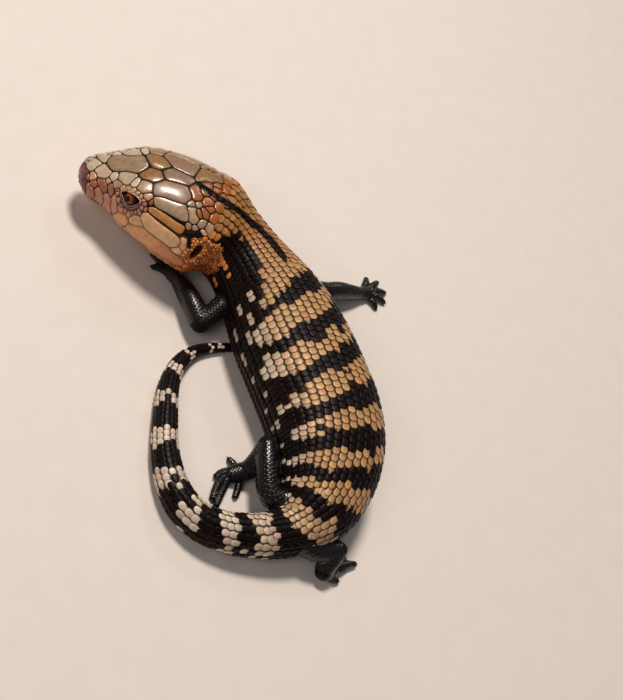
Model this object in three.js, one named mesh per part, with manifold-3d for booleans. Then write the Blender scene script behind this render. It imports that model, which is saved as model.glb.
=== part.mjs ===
// A young blue-tongued skink lying on its belly, its tail looped round to its left side.
// Millimetres, +Z up, the floor at z = 0. The head points to -X, the trunk runs back to -Y.
// Distances along the spine start at the tip of the snout.
import * as THREE from "three";
import { mergeVertices } from "three/addons/utils/BufferGeometryUtils.js";
import Module from "manifold-3d";

const wasm = await Module();
wasm.setup();

const gap = 0.3;
const shiftX = 15.0;
const shiftY = 10.1;

// Course of the spine seen from above: distance, x, y.
const spineCourse = [
  [0, -51.1, 25.5],
  [5, -46.5, 25.3],
  [11.3, -40.5, 23.6],
  [15, -37.1, 22.2],
  [19.4, -33.1, 20.4],
  [23.8, -29.0, 18.8],
  [28.5, -24.6, 17.3],
  [35.4, -19.1, 13.0],
  [45.6, -13.6, 4.5],
  [56.3, -10.0, -5.7],
  [64.1, -7.8, -13.1],
  [71, -6.2, -19.8],
  [78.1, -5.9, -26.9],
  [85, -7.3, -33.6],
  [91.8, -10.3, -39.6],
  [98.2, -15.1, -43.4],
  [103.1, -19.8, -44.7],
  [108, -24.7, -44.8],
  [111.7, -28.4, -44.3],
  [116.1, -32.3, -42.8],
  [120, -35.1, -40.0],
  [124.5, -36.7, -36.0],
  [128.9, -37.2, -31.6],
  [133.3, -37.0, -27.2],
  [139.6, -36.0, -21.0],
  [144.4, -35.0, -16.3],
  [149.6, -33.0, -11.5],
  [154, -30.4, -8.0],
  [157.5, -27.6, -5.8],
  [161.1, -24.3, -4.4],
  [164.8, -20.7, -3.5],
  [168.3, -17.5, -2.9],
  [172, -14.0, -2.7],
];

// Sections across the spine: distance, height of the centre, half width, height above and below it, roundness.
const spineSize = [
  [0, 6.9, 0.7, 0.5, 0.5, 2.1],
  [0.25, 6.95, 2.2, 1.45, 1.15, 2.2],
  [0.7, 7.0, 3.2, 2.15, 1.65, 2.3],
  [1.3, 7.1, 4.0, 2.75, 2.1, 2.3],
  [2, 7.25, 4.6, 3.2, 2.5, 2.3],
  [4.8, 7.9, 5.7, 4.2, 3.7, 2.3],
  [6.7, 8.4, 6.6, 5.0, 4.5, 2.35],
  [8.7, 8.9, 7.7, 5.9, 5.5, 2.4],
  [11.3, 9.5, 8.9, 7.1, 6.6, 2.4],
  [15, 9.9, 9.9, 7.95, 7.5, 2.4],
  [19.4, 10.2, 10.8, 8.55, 8.1, 2.35],
  [23.8, 10.2, 11.2, 8.6, 8.3, 2.3],
  [26.5, 10.0, 11.4, 8.5, 8.1, 2.3],
  [28.6, 9.8, 10.4, 8.1, 7.5, 2.25],
  [31.5, 9.4, 8.6, 7.5, 7.2, 2.2],
  [35.4, 8.8, 8.2, 7.4, 7.2, 2.2],
  [40, 8.5, 8.9, 7.8, 8.0, 2.2],
  [45.6, 8.4, 10.2, 8.5, 8.7, 2.25],
  [50, 8.4, 11.1, 8.8, 8.9, 2.3],
  [56.3, 8.5, 11.8, 9.0, 9.1, 2.3],
  [64, 8.5, 12.0, 9.0, 9.1, 2.3],
  [71, 8.4, 12.0, 9.0, 9.0, 2.3],
  [78, 8.1, 11.3, 8.6, 8.7, 2.3],
  [85, 7.2, 9.8, 7.7, 7.7, 2.25],
  [91.8, 6.1, 7.6, 6.5, 6.5, 2.2],
  [95, 5.3, 6.3, 5.7, 5.6, 2.15],
  [98.2, 4.6, 5.0, 4.8, 4.8, 2.1],
  [103, 4.2, 4.3, 4.3, 4.35, 2.1],
  [108, 3.85, 3.95, 3.95, 4.0, 2.1],
  [111.7, 3.6, 3.7, 3.7, 3.75, 2.1],
  [116, 3.35, 3.45, 3.45, 3.5, 2.1],
  [120, 3.2, 3.3, 3.3, 3.35, 2.1],
  [124.5, 2.95, 3.05, 3.05, 3.1, 2.1],
  [129, 2.7, 2.8, 2.8, 2.85, 2.1],
  [133, 2.5, 2.6, 2.6, 2.65, 2.1],
  [139.6, 2.3, 2.4, 2.4, 2.45, 2.1],
  [144.4, 2.1, 2.2, 2.2, 2.25, 2.1],
  [149.6, 1.75, 1.85, 1.85, 1.9, 2.1],
  [154, 1.5, 1.6, 1.6, 1.65, 2.1],
  [157.5, 1.2, 1.3, 1.3, 1.35, 2.1],
  [161, 1.05, 1.15, 1.15, 1.2, 2.1],
  [164.8, 0.9, 1.0, 1.0, 1.05, 2.1],
  [168.3, 0.75, 0.8, 0.8, 0.9, 2.1],
  [172, 0.4, 0.35, 0.35, 0.45, 2.1],
];

// Lean of the sections, left side up: distance, degrees.
const spineLean = [
  [0, 0],
  [28, 0],
  [42, 5],
  [62, 5],
  [84, 0],
  [172, 0],
];

// Raised and hollow places on the head: distance, degrees from the crown, spread of each, height.
const headRelief = [
  [11, 46, 3.2, 13, 0.5],
  [11.3, 74, 2.6, 15, -0.3],
  [6.3, 62, 2.4, 18, -0.3],
  [24, 92, 4.5, 30, 0.55],
  [11, 0, 4.5, 20, -0.25],
  [9, 104, 9, 9, 0.22],
  [9, 129, 9, 10, -0.25],
];

const headEnd = 30;
const spineEnd = 172;

function curveAt(table, distance) {
  const last = table.length - 1;
  let i = 0;
  while (i < last - 1 && table[i + 1][0] < distance) i++;
  const a = table[i];
  const b = table[i + 1];
  const before = table[Math.max(i - 1, 0)];
  const after = table[Math.min(i + 2, last)];
  const span = b[0] - a[0];
  const t = Math.min(Math.max((distance - a[0]) / span, 0), 1);
  const t2 = t * t;
  const t3 = t2 * t;
  return a.slice(1).map((value, k) => {
    const next = b[k + 1];
    const slopeA = (next - before[k + 1]) / (b[0] - before[0]);
    const slopeB = (after[k + 1] - value) / (after[0] - a[0]);
    return (
      (2 * t3 - 3 * t2 + 1) * value +
      (t3 - 2 * t2 + t) * span * slopeA +
      (3 * t2 - 2 * t3) * next +
      (t3 - t2) * span * slopeB
    );
  });
}

function spineCentre(distance) {
  const [x, y] = curveAt(spineCourse, distance);
  const [z] = curveAt(spineSize, distance);
  return new THREE.Vector3(x + shiftX, y + shiftY, z);
}

// Sections turn as slowly as the body is wide, so that none crosses the next on the inside of a bend.
function spineFrame(distance) {
  const centre = spineCentre(distance);
  const reach = 0.3 + 0.5 * curveAt(spineSize, distance)[1];
  const ahead = spineCentre(Math.max(distance - reach, 0));
  const behind = spineCentre(Math.min(distance + reach, spineEnd));
  const forward = ahead.sub(behind).normalize();
  const left = new THREE.Vector3(0, 0, 1).cross(forward).normalize();
  const up = forward.clone().cross(left);
  const lean = THREE.MathUtils.degToRad(curveAt(spineLean, distance)[0]);
  left.applyAxisAngle(forward, -lean);
  up.applyAxisAngle(forward, -lean);
  return { centre, forward, left, up };
}

function reliefAt(distance, angle) {
  if (distance > headEnd + 3) return 0;
  const degrees = Math.abs(THREE.MathUtils.radToDeg(angle));
  let height = 0;
  for (const [d, a, spreadD, spreadA, h] of headRelief) {
    const u = (distance - d) / spreadD;
    const v = (degrees - a) / spreadA;
    height += h * Math.exp(-u * u - v * v);
  }
  return height;
}

const signedPower = (value, power) => Math.sign(value) * Math.abs(value) ** power;

// A point of the skin: angle 0 is the crown or back, positive to the animal's left.
function skinPoint(distance, angle, grow = 0) {
  const { centre, left, up } = spineFrame(distance);
  const [, half, above, below, power] = curveAt(spineSize, distance);
  const extra = grow + reliefAt(distance, angle);
  const across = (half + extra) * signedPower(Math.sin(angle), 2 / power);
  const rise = (Math.cos(angle) > 0 ? above + extra : below + extra) * signedPower(Math.cos(angle), 2 / power);
  return centre.addScaledVector(left, across).addScaledVector(up, rise);
}

function skinNormal(distance, angle) {
  const step = 0.04;
  const alongA = skinPoint(distance - 0.3, angle);
  const alongB = skinPoint(distance + 0.3, angle);
  const roundA = skinPoint(distance, angle - step);
  const roundB = skinPoint(distance, angle + step);
  const normal = alongB.sub(alongA).cross(roundB.sub(roundA)).normalize();
  const out = skinPoint(distance, angle).sub(spineCentre(distance));
  return normal.dot(out) < 0 ? normal.negate() : normal;
}

// A closed surface through rings of points, each ring given the same way round.
function loft(rings) {
  const count = rings[0].length;
  const points = rings.flat();
  const middle = (ring) => ring.reduce((sum, p) => sum.add(p), new THREE.Vector3()).divideScalar(count);
  points.push(middle(rings[0]), middle(rings[rings.length - 1]));
  const faces = [];
  for (let r = 0; r < rings.length - 1; r++) {
    for (let k = 0; k < count; k++) {
      const a = r * count + k;
      const b = r * count + ((k + 1) % count);
      faces.push(a, b, b + count, a, b + count, a + count);
    }
  }
  const lastRow = (rings.length - 1) * count;
  const head = rings.length * count;
  for (let k = 0; k < count; k++) {
    const next = (k + 1) % count;
    faces.push(head, next, k);
    faces.push(head + 1, lastRow + k, lastRow + next);
  }
  const geometry = new THREE.BufferGeometry();
  const flat = points.flatMap((p) => [p.x, p.y, p.z]);
  geometry.setAttribute("position", new THREE.Float32BufferAttribute(flat, 3));
  geometry.setIndex(faces);
  return geometry;
}

function solidOf(geometry) {
  const bare = geometry.index ? geometry.toNonIndexed() : geometry.clone();
  for (const name of Object.keys(bare.attributes)) if (name !== "position") bare.deleteAttribute(name);
  const merged = mergeVertices(bare, 1e-4);
  const make = (triVerts) =>
    new wasm.Manifold(
      new wasm.Mesh({ numProp: 3, vertProperties: merged.attributes.position.array, triVerts }),
    );
  const order = new Uint32Array(merged.index.array);
  const solid = make(order);
  if (solid.volume() > 0) return solid;
  for (let i = 0; i < order.length; i += 3) [order[i + 1], order[i + 2]] = [order[i + 2], order[i + 1]];
  return make(order);
}

function bodySolid(distances, around, grow = 0) {
  const rings = distances.map((distance) =>
    Array.from({ length: around }, (_, k) => skinPoint(distance, (2 * Math.PI * k) / around, grow)),
  );
  return solidOf(loft(rings));
}

function stations(from, to, count) {
  return Array.from({ length: count + 1 }, (_, i) => from + ((to - from) * i) / count);
}

// A tube through points given as x, y, z, radius; a flatness under 1 makes it lower than wide.
function tubeSolid(points, options = {}) {
  const { around = 12, steps = 2, grow = 0, flatness = 1 } = options;
  const table = points.map((p, i) => [i, p[0] + shiftX, p[1] + shiftY, p[2], p[3]]);
  const last = points.length - 1;
  const rings = [];
  const place = (t) => {
    const [x, y, z] = curveAt(table, t);
    return new THREE.Vector3(x, y, z);
  };
  for (let i = 0; i <= last * steps; i++) {
    const t = i / steps;
    const centre = place(t);
    const forward = place(Math.min(t + 0.05, last)).sub(place(Math.max(t - 0.05, 0))).normalize();
    const side = new THREE.Vector3(0, 0, 1).cross(forward);
    if (side.length() < 0.05) side.set(1, 0, 0);
    side.normalize();
    const up = forward.clone().cross(side);
    const radius = curveAt(table, t)[3] + grow;
    rings.push(
      Array.from({ length: around }, (_, k) => {
        const angle = (2 * Math.PI * k) / around;
        return centre
          .clone()
          .addScaledVector(side, radius * Math.sin(angle))
          .addScaledVector(up, radius * flatness * Math.cos(angle));
      }),
    );
  }
  return solidOf(loft(rings));
}

// An ellipsoid with its radii along, across and out of the skin at a place on it.
function ballSolid(place, radii, detail) {
  const geometry = new THREE.SphereGeometry(1, detail * 2, detail);
  geometry.scale(...radii);
  const across = place.normal.clone().cross(place.along);
  geometry.applyMatrix4(new THREE.Matrix4().makeBasis(place.along, across, place.normal));
  geometry.translate(place.centre.x, place.centre.y, place.centre.z);
  return solidOf(geometry);
}

// A place on the skin, or that far under it, with its directions; turn leans the first one towards the crown.
function skinPlace(distance, degrees, side, depth = 0, turn = 0) {
  const angle = side * THREE.MathUtils.degToRad(degrees);
  const normal = skinNormal(distance, angle);
  const centre = skinPoint(distance, angle).addScaledVector(normal, -depth);
  const { forward } = spineFrame(distance);
  const along = forward.clone().addScaledVector(normal, -forward.dot(normal)).normalize();
  along.applyAxisAngle(normal, side * THREE.MathUtils.degToRad(turn));
  return { side, centre, normal, along };
}

const floorGeometry = new THREE.BoxGeometry(400, 400, 40);
floorGeometry.translate(0, 0, -20);
const underFloor = solidOf(floorGeometry);

function largestPiece(solid) {
  return solid.decompose().sort((a, b) => b.volume() - a.volume())[0];
}

const root = new THREE.Group();

function addNode(name, solid, colour) {
  const trimmed = largestPiece(solid.subtract(underFloor));
  const mesh = trimmed.getMesh();
  const geometry = new THREE.BufferGeometry();
  geometry.setAttribute("position", new THREE.Float32BufferAttribute(mesh.vertProperties, 3));
  geometry.setIndex([...mesh.triVerts]);
  const node = new THREE.Mesh(geometry, new THREE.MeshStandardMaterial({ color: colour }));
  node.name = name;
  root.add(node);
}

const tan = 0xb98a4c;
const dark = 0x1d1a18;
const amber = 0xb4682a;

// Eyes sit in sockets that open through the slit between two lids.
const eyeRadius = 1.7;
const eyes = [1, -1].map((side) => skinPlace(10.2, 60, side, eyeRadius + 0.25));

function eyeSlit(eye) {
  const across = eye.normal.clone().cross(eye.along);
  const outline = Array.from({ length: 16 }, (_, k) => {
    const angle = (2 * Math.PI * k) / 16;
    const half = 1.75 * Math.cos(angle);
    const height = 1.0 * Math.sign(Math.sin(angle)) * Math.abs(Math.sin(angle)) ** 1.3;
    return [half, height];
  });
  const rings = [0.4, 5].map((out) =>
    outline.map(([half, height]) =>
      eye.centre
        .clone()
        .addScaledVector(eye.normal, out)
        .addScaledVector(eye.along, half)
        .addScaledVector(across, height),
    ),
  );
  return solidOf(loft(rings));
}

// The line of the mouth runs low along each side and round the front of the snout.
function mouthGroove() {
  const corner = 21;
  const reach = stations(corner, 1, 9);
  const lip = (distance, side) => skinPoint(distance, side * THREE.MathUtils.degToRad(110 + 0.15 * distance));
  const front = skinPoint(0.25, Math.PI);
  const course = [...reach.map((d) => lip(d, 1)), front, ...[...reach].reverse().map((d) => lip(d, -1))];
  const points = course.map((p) => [p.x - shiftX, p.y - shiftY, p.z, 0.3]);
  return tubeSolid(points, { around: 6, steps: 1 });
}

const headRings = [
  0.02, 0.25, 0.7, 1.3, 2, 3, 4.2, 5.5, 7, 8.4, 9.8, 11.2, 12.6, 14, 16, 18, 20, 22, 24, 26, 28, headEnd - gap / 2,
];
let head = bodySolid(headRings, 32);
for (const eye of eyes) head = head.add(ballSolid(eye, [2.8, 2.15, 2.45], 9));
for (const eye of eyes) {
  head = head.subtract(ballSolid(eye, [2.0, 2.0, 2.0], 8));
  head = head.subtract(eyeSlit(eye));
}
head = head.subtract(mouthGroove());
for (const side of [1, -1]) {
  head = head.subtract(ballSolid(skinPlace(1.9, 66, side), [0.42, 0.34, 0.7], 5));
  head = head.subtract(ballSolid(skinPlace(25.5, 72, side, 0, 85), [1.9, 0.8, 1.4], 7));
}
addNode("head", head, tan);
for (const eye of eyes) {
  const ball = ballSolid(eye, [eyeRadius, eyeRadius, eyeRadius], 9);
  addNode(eye.side > 0 ? "eye_left" : "eye_right", ball, amber);
}

const trunkNodes = [
  ["neck", headEnd, 41, 5, 28, tan],
  ["trunk_front", 41, 57, 6, 28, tan],
  ["trunk_middle", 57, 75, 6, 28, tan],
  ["trunk_rear", 75, 90, 6, 28, tan],
  ["pelvis", 90, 100, 5, 24, dark],
  ["tail_root", 100, 112, 6, 20, tan],
  ["tail_bend", 112, 125, 7, 18, dark],
  ["tail_side", 125, 138, 5, 16, dark],
  ["tail_fore", 138, 150, 5, 14, tan],
  ["tail_turn", 150, 161, 6, 12, dark],
  ["tail_tip", 161, spineEnd, 6, 10, dark],
];

// Limbs: joints as x, y, z, radius, root first; each hand or foot has its sole and its digits.
const limbs = {
  fore_left: {
    upper: [
      [-17.0, 6.0, 7.0, 2.3],
      [-21.2, 4.4, 5.8, 2.2],
      [-24.6, 1.2, 4.8, 2.1],
      [-27.4, -1.2, 4.1, 2.1],
    ],
    lower: [
      [-27.4, -1.2, 4.1, 2.1],
      [-28.1, 2.4, 3.8, 2.3],
      [-28.9, 6.3, 3.0, 2.1],
      [-29.7, 9.4, 2.1, 1.7],
    ],
    sole: [
      [-29.7, 9.4, 2.1, 1.7],
      [-30.2, 11.0, 1.45, 1.8],
      [-30.9, 12.6, 1.0, 1.6],
    ],
    digits: [
      [[-30.1, 12.2, 0.85], [-29.4, 13.8, 0.95], [-29.2, 15.2, 0.5]],
      [[-30.8, 13.0, 0.85], [-30.7, 15.0, 1.0], [-30.6, 16.9, 0.5]],
      [[-31.4, 13.0, 0.85], [-32.0, 15.1, 1.0], [-32.4, 17.0, 0.5]],
      [[-31.8, 12.7, 0.85], [-33.0, 14.3, 1.0], [-33.9, 15.8, 0.5]],
      [[-31.6, 11.9, 0.85], [-32.9, 12.4, 0.9], [-34.1, 12.7, 0.5]],
    ],
  },
  fore_right: {
    upper: [
      [-9.5, 8.0, 7.2, 2.3],
      [-4.8, 10.2, 6.0, 2.2],
      [-0.6, 11.4, 4.9, 1.95],
      [3.4, 12.2, 4.1, 1.95],
    ],
    lower: [
      [3.4, 12.2, 4.1, 1.95],
      [6.6, 13.2, 3.7, 1.95],
      [10.0, 14.1, 2.8, 1.7],
      [13.0, 15.0, 1.9, 1.4],
    ],
    sole: [
      [13.0, 15.0, 1.9, 1.4],
      [14.4, 15.6, 1.35, 1.6],
      [15.9, 16.3, 1.0, 1.5],
    ],
    digits: [
      [[15.2, 17.2, 0.85], [16.0, 18.7, 0.9], [16.6, 20.0, 0.5]],
      [[16.2, 17.1, 0.85], [17.8, 18.4, 1.0], [19.2, 19.6, 0.5]],
      [[16.6, 16.6, 0.85], [18.7, 17.1, 1.0], [20.6, 17.3, 0.5]],
      [[16.5, 15.9, 0.85], [18.4, 15.5, 1.0], [20.0, 14.8, 0.5]],
      [[15.8, 15.1, 0.85], [16.9, 14.1, 0.9], [17.6, 13.0, 0.5]],
    ],
  },
  hind_left: {
    upper: [
      [-13.2, -38.6, 6.0, 2.6],
      [-18.3, -37.4, 5.7, 2.35],
      [-18.6, -31.9, 6.3, 2.3],
      [-17.9, -27.2, 6.3, 2.05],
    ],
    lower: [
      [-17.9, -27.2, 6.3, 2.05],
      [-19.0, -29.2, 4.8, 2.0],
      [-19.9, -30.4, 3.4, 2.0],
      [-20.6, -31.0, 2.5, 1.95],
    ],
    sole: [
      [-20.6, -31.0, 2.5, 1.95],
      [-22.1, -31.2, 1.75, 1.95],
      [-23.7, -31.5, 1.2, 1.65],
    ],
    digits: [
      [[-21.9, -29.8, 0.95], [-22.5, -28.8, 0.9], [-23.0, -27.9, 0.6]],
      [[-24.0, -30.7, 0.9], [-25.2, -31.1, 0.9], [-26.3, -31.9, 0.55]],
      [[-25.0, -31.8, 0.9], [-26.7, -34.2, 1.0], [-27.6, -36.5, 0.55]],
      [[-24.2, -32.5, 0.9], [-25.8, -35.3, 1.0], [-27.0, -37.9, 0.55]],
      [[-21.6, -32.6, 0.9], [-22.2, -34.2, 0.9], [-22.8, -35.6, 0.55]],
    ],
  },
  hind_right: {
    upper: [
      [-13.4, -43.2, 5.0, 2.5],
      [-12.0, -46.3, 4.9, 2.2],
      [-8.4, -47.2, 4.8, 2.0],
      [-4.9, -46.4, 4.8, 1.85],
    ],
    lower: [
      [-4.9, -46.4, 4.8, 1.85],
      [-6.4, -48.2, 3.6, 2.0],
      [-7.2, -49.2, 2.8, 1.95],
      [-7.4, -49.8, 2.3, 1.85],
    ],
    sole: [
      [-7.4, -49.8, 2.3, 1.85],
      [-5.6, -49.2, 1.4, 1.6],
      [-3.8, -48.2, 1.0, 1.4],
    ],
    digits: [
      [[-4.4, -47.0, 0.85], [-3.5, -46.0, 0.85], [-2.9, -45.2, 0.5]],
      [[-3.5, -47.3, 0.85], [-2.1, -46.4, 0.9], [-1.2, -45.7, 0.5]],
      [[-2.9, -47.9, 0.9], [-0.8, -47.2, 0.95], [1.0, -46.8, 0.55]],
      [[-3.3, -48.6, 0.85], [-2.4, -48.3, 0.85], [-1.6, -48.0, 0.5]],
      [[-5.6, -50.0, 0.85], [-4.8, -50.5, 0.85], [-3.6, -50.6, 0.5]],
    ],
  },
};

function digitSolid([base, bend, tip]) {
  const beyond = tip.map((value, k) => value + 0.28 * (value - bend[k]));
  const points = [
    [...base, 0.72],
    [...bend, 0.66],
    [tip[0], tip[1], tip[2] + 0.05, 0.56],
    [beyond[0], beyond[1], 0.28, 0.14],
  ];
  return tubeSolid(points, { around: 8, steps: 2 });
}

const limbRoots = bodySolid(stations(34, 104, 28), 28, gap);
for (const [name, limb] of Object.entries(limbs)) {
  const upper = tubeSolid(limb.upper, { around: 14, steps: 3 }).subtract(limbRoots);
  const upperGrown = tubeSolid(limb.upper, { around: 14, steps: 3, grow: gap }).add(limbRoots);
  const lower = tubeSolid(limb.lower, { around: 12, steps: 3 }).subtract(upperGrown);
  const lowerGrown = tubeSolid(limb.lower, { around: 12, steps: 3, grow: gap }).add(upperGrown);
  let foot = tubeSolid(limb.sole, { around: 12, steps: 2, flatness: 0.8 });
  for (const digit of limb.digits) foot = foot.add(digitSolid(digit));
  addNode(name + "_upper", upper, dark);
  addNode(name + "_lower", lower, dark);
  addNode(name + "_foot", foot.subtract(lowerGrown), dark);
}

// The flank lies over the end of the tail and is hollowed out for it.
const tailHollow = bodySolid(stations(158, spineEnd, 10), 14, gap);
for (const [name, from, to, count, around, colour] of trunkNodes) {
  const end = to === spineEnd ? to : to - gap / 2;
  const solid = bodySolid(stations(from + gap / 2, end, count), around);
  addNode(name, name === "trunk_front" ? solid.subtract(tailHollow) : solid, colour);
}

export default root;
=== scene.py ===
# A young blue-tongued skink lying on its belly, in its skin, head shields and scales.
# Lengths are in millimetres until a mesh is made. Distances run along the spine from the tip of the
# snout, and angles run round the body from the crown or back, positive to the animal's left.
import math

import bpy
import numpy as np
from mathutils import Matrix, Vector
from mathutils.bvhtree import BVHTree
from mathutils.kdtree import KDTree


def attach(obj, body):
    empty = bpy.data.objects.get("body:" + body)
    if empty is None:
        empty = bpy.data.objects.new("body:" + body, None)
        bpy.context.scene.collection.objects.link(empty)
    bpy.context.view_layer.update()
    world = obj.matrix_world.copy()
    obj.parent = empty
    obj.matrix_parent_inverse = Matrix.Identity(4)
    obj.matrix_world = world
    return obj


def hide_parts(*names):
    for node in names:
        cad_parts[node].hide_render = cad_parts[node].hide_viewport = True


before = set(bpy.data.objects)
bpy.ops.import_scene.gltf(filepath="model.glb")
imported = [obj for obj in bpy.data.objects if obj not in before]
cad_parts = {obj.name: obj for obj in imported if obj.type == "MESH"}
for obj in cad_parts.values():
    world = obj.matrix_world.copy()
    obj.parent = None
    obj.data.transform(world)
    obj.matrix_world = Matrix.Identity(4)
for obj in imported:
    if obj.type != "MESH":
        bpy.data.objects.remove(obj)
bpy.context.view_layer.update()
bpy.ops.object.select_all(action="DESELECT")
print("frame loaded")

millimetre = 0.001

# Where the body lies: distance, x, y; and its sections: distance, height of the middle, half width,
# reach above, reach below, roundness.
body = {
    "shift": (15.0, 10.1),
    "end": 172.0,
    "course": [
        (0, -51.1, 25.5), (5, -46.5, 25.3), (11.3, -40.5, 23.6), (15, -37.1, 22.2), (19.4, -33.1, 20.4),
        (23.8, -29.0, 18.8), (28.5, -24.6, 17.3), (35.4, -19.1, 13.0), (45.6, -13.6, 4.5),
        (56.3, -10.0, -5.7), (64.1, -7.8, -13.1), (71, -6.2, -19.8), (78.1, -5.9, -26.9),
        (85, -7.3, -33.6), (91.8, -10.3, -39.6), (98.2, -15.1, -43.4), (103.1, -19.8, -44.7),
        (108, -24.7, -44.8), (111.7, -28.4, -44.3), (116.1, -32.3, -42.8), (120, -35.1, -40.0),
        (124.5, -36.7, -36.0), (128.9, -37.2, -31.6), (133.3, -37.0, -27.2), (139.6, -36.0, -21.0),
        (144.4, -35.0, -16.3), (149.6, -33.0, -11.5), (154, -30.4, -8.0), (157.5, -27.6, -5.8),
        (161.1, -24.3, -4.4), (164.8, -20.7, -3.5), (168.3, -17.5, -2.9), (172, -14.0, -2.7),
    ],
    "size": [
        (0, 6.9, 0.7, 0.5, 0.5, 2.1), (0.25, 6.95, 2.2, 1.45, 1.15, 2.2),
        (0.7, 7.0, 3.2, 2.15, 1.65, 2.3), (1.3, 7.1, 4.0, 2.75, 2.1, 2.3),
        (2, 7.25, 4.6, 3.2, 2.5, 2.3), (4.8, 7.9, 5.7, 4.2, 3.7, 2.3), (6.7, 8.4, 6.6, 5.0, 4.5, 2.35),
        (8.7, 8.9, 7.7, 5.9, 5.5, 2.4), (11.3, 9.5, 8.9, 7.1, 6.6, 2.4), (15, 9.9, 9.9, 7.95, 7.5, 2.4),
        (19.4, 10.2, 10.8, 8.55, 8.1, 2.35), (23.8, 10.2, 11.2, 8.6, 8.3, 2.3),
        (26.5, 10.0, 11.4, 8.5, 8.1, 2.3), (28.6, 9.8, 10.4, 8.1, 7.5, 2.25),
        (31.5, 9.4, 8.6, 7.5, 7.2, 2.2), (35.4, 8.8, 8.2, 7.4, 7.2, 2.2), (40, 8.5, 8.9, 7.8, 8.0, 2.2),
        (45.6, 8.4, 10.2, 8.5, 8.7, 2.25), (50, 8.4, 11.1, 8.8, 8.9, 2.3),
        (56.3, 8.5, 11.8, 9.0, 9.1, 2.3), (64, 8.5, 12.0, 9.0, 9.1, 2.3),
        (71, 8.4, 12.0, 9.0, 9.0, 2.3), (78, 8.1, 11.3, 8.6, 8.7, 2.3), (85, 7.2, 9.8, 7.7, 7.7, 2.25),
        (91.8, 6.1, 7.6, 6.5, 6.5, 2.2), (95, 5.3, 6.3, 5.7, 5.6, 2.15),
        (98.2, 4.6, 5.0, 4.8, 4.8, 2.1), (103, 4.2, 4.3, 4.3, 4.35, 2.1),
        (108, 3.85, 3.95, 3.95, 4.0, 2.1), (111.7, 3.6, 3.7, 3.7, 3.75, 2.1),
        (116, 3.35, 3.45, 3.45, 3.5, 2.1), (120, 3.2, 3.3, 3.3, 3.35, 2.1),
        (124.5, 2.95, 3.05, 3.05, 3.1, 2.1), (129, 2.7, 2.8, 2.8, 2.85, 2.1),
        (133, 2.5, 2.6, 2.6, 2.65, 2.1), (139.6, 2.3, 2.4, 2.4, 2.45, 2.1),
        (144.4, 2.1, 2.2, 2.2, 2.25, 2.1), (149.6, 1.75, 1.85, 1.85, 1.9, 2.1),
        (154, 1.5, 1.6, 1.6, 1.65, 2.1), (157.5, 1.2, 1.3, 1.3, 1.35, 2.1),
        (161, 1.05, 1.15, 1.15, 1.2, 2.1), (164.8, 0.9, 1.0, 1.0, 1.05, 2.1),
        (168.3, 0.75, 0.8, 0.8, 0.9, 2.1), (172, 0.4, 0.35, 0.35, 0.45, 2.1),
    ],
    "lean": [(0, 0), (28, 0), (42, 5), (62, 5), (84, 0), (172, 0)],
    # Raised and hollow places on the head: distance, degrees, spread of each, height.
    "relief": [
        (11, 46, 3.2, 13, 0.5), (11.3, 74, 2.6, 15, -0.3), (6.3, 62, 2.4, 18, -0.3),
        (24, 92, 4.5, 30, 0.55), (11, 0, 4.5, 20, -0.25), (9, 104, 9, 9, 0.22), (9, 129, 9, 10, -0.25),
    ],
}


def curveAt(table, distance):
    rows = np.array(table, float)
    distance = np.asarray(distance, float)
    last = len(rows) - 1
    i = np.searchsorted(rows[1:last, 0], distance, side="left")
    a, b = rows[i], rows[i + 1]
    before, after = rows[np.maximum(i - 1, 0)], rows[np.minimum(i + 2, last)]
    span = (b[..., 0] - a[..., 0])[..., None]
    t = np.clip((distance - a[..., 0])[..., None] / span, 0, 1)
    slopeA = (b[..., 1:] - before[..., 1:]) / (b[..., :1] - before[..., :1])
    slopeB = (after[..., 1:] - a[..., 1:]) / (after[..., :1] - a[..., :1])
    start = (2 * t**3 - 3 * t**2 + 1) * a[..., 1:] + (t**3 - 2 * t**2 + t) * span * slopeA
    return start + (3 * t**2 - 2 * t**3) * b[..., 1:] + (t**3 - t**2) * span * slopeB


def unit(v):
    return v / np.maximum(np.linalg.norm(v, axis=-1, keepdims=True), 1e-12)


def spineCentre(distance):
    xy = curveAt(body["course"], distance) + np.array(body["shift"])
    return np.concatenate([xy, curveAt(body["size"], distance)[..., :1]], -1)


def spineFrame(distance):
    distance = np.asarray(distance, float)
    reach = 0.3 + 0.5 * curveAt(body["size"], distance)[..., 1]
    ahead = spineCentre(np.maximum(distance - reach, 0))
    forward = unit(ahead - spineCentre(np.minimum(distance + reach, body["end"])))
    left = unit(np.cross([0.0, 0.0, 1.0], forward))
    up = np.cross(forward, left)
    lean = -np.radians(curveAt(body["lean"], distance))
    return (
        spineCentre(distance),
        forward,
        left * np.cos(lean) + np.cross(forward, left) * np.sin(lean),
        up * np.cos(lean) + np.cross(forward, up) * np.sin(lean),
    )


def skinPoint(distance, angle, grow=0.0):
    distance, angle = np.broadcast_arrays(np.asarray(distance, float), np.asarray(angle, float))
    centre, _, left, up = spineFrame(distance)
    size = curveAt(body["size"], distance)
    half, above, below, power = (size[..., k] for k in (1, 2, 3, 4))
    extra = 0.0
    for d, a, spreadD, spreadA, height in body["relief"]:
        away = ((distance - d) / spreadD) ** 2 + ((np.abs(np.degrees(angle)) - a) / spreadA) ** 2
        extra = extra + height * np.exp(-away)
    extra = grow + np.where(distance > 33, 0, extra)
    across = (half + extra) * np.sign(np.sin(angle)) * np.abs(np.sin(angle)) ** (2 / power)
    height = np.where(np.cos(angle) > 0, above, below) + extra
    rise = height * np.sign(np.cos(angle)) * np.abs(np.cos(angle)) ** (2 / power)
    return centre + left * across[..., None] + up * rise[..., None]


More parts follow.
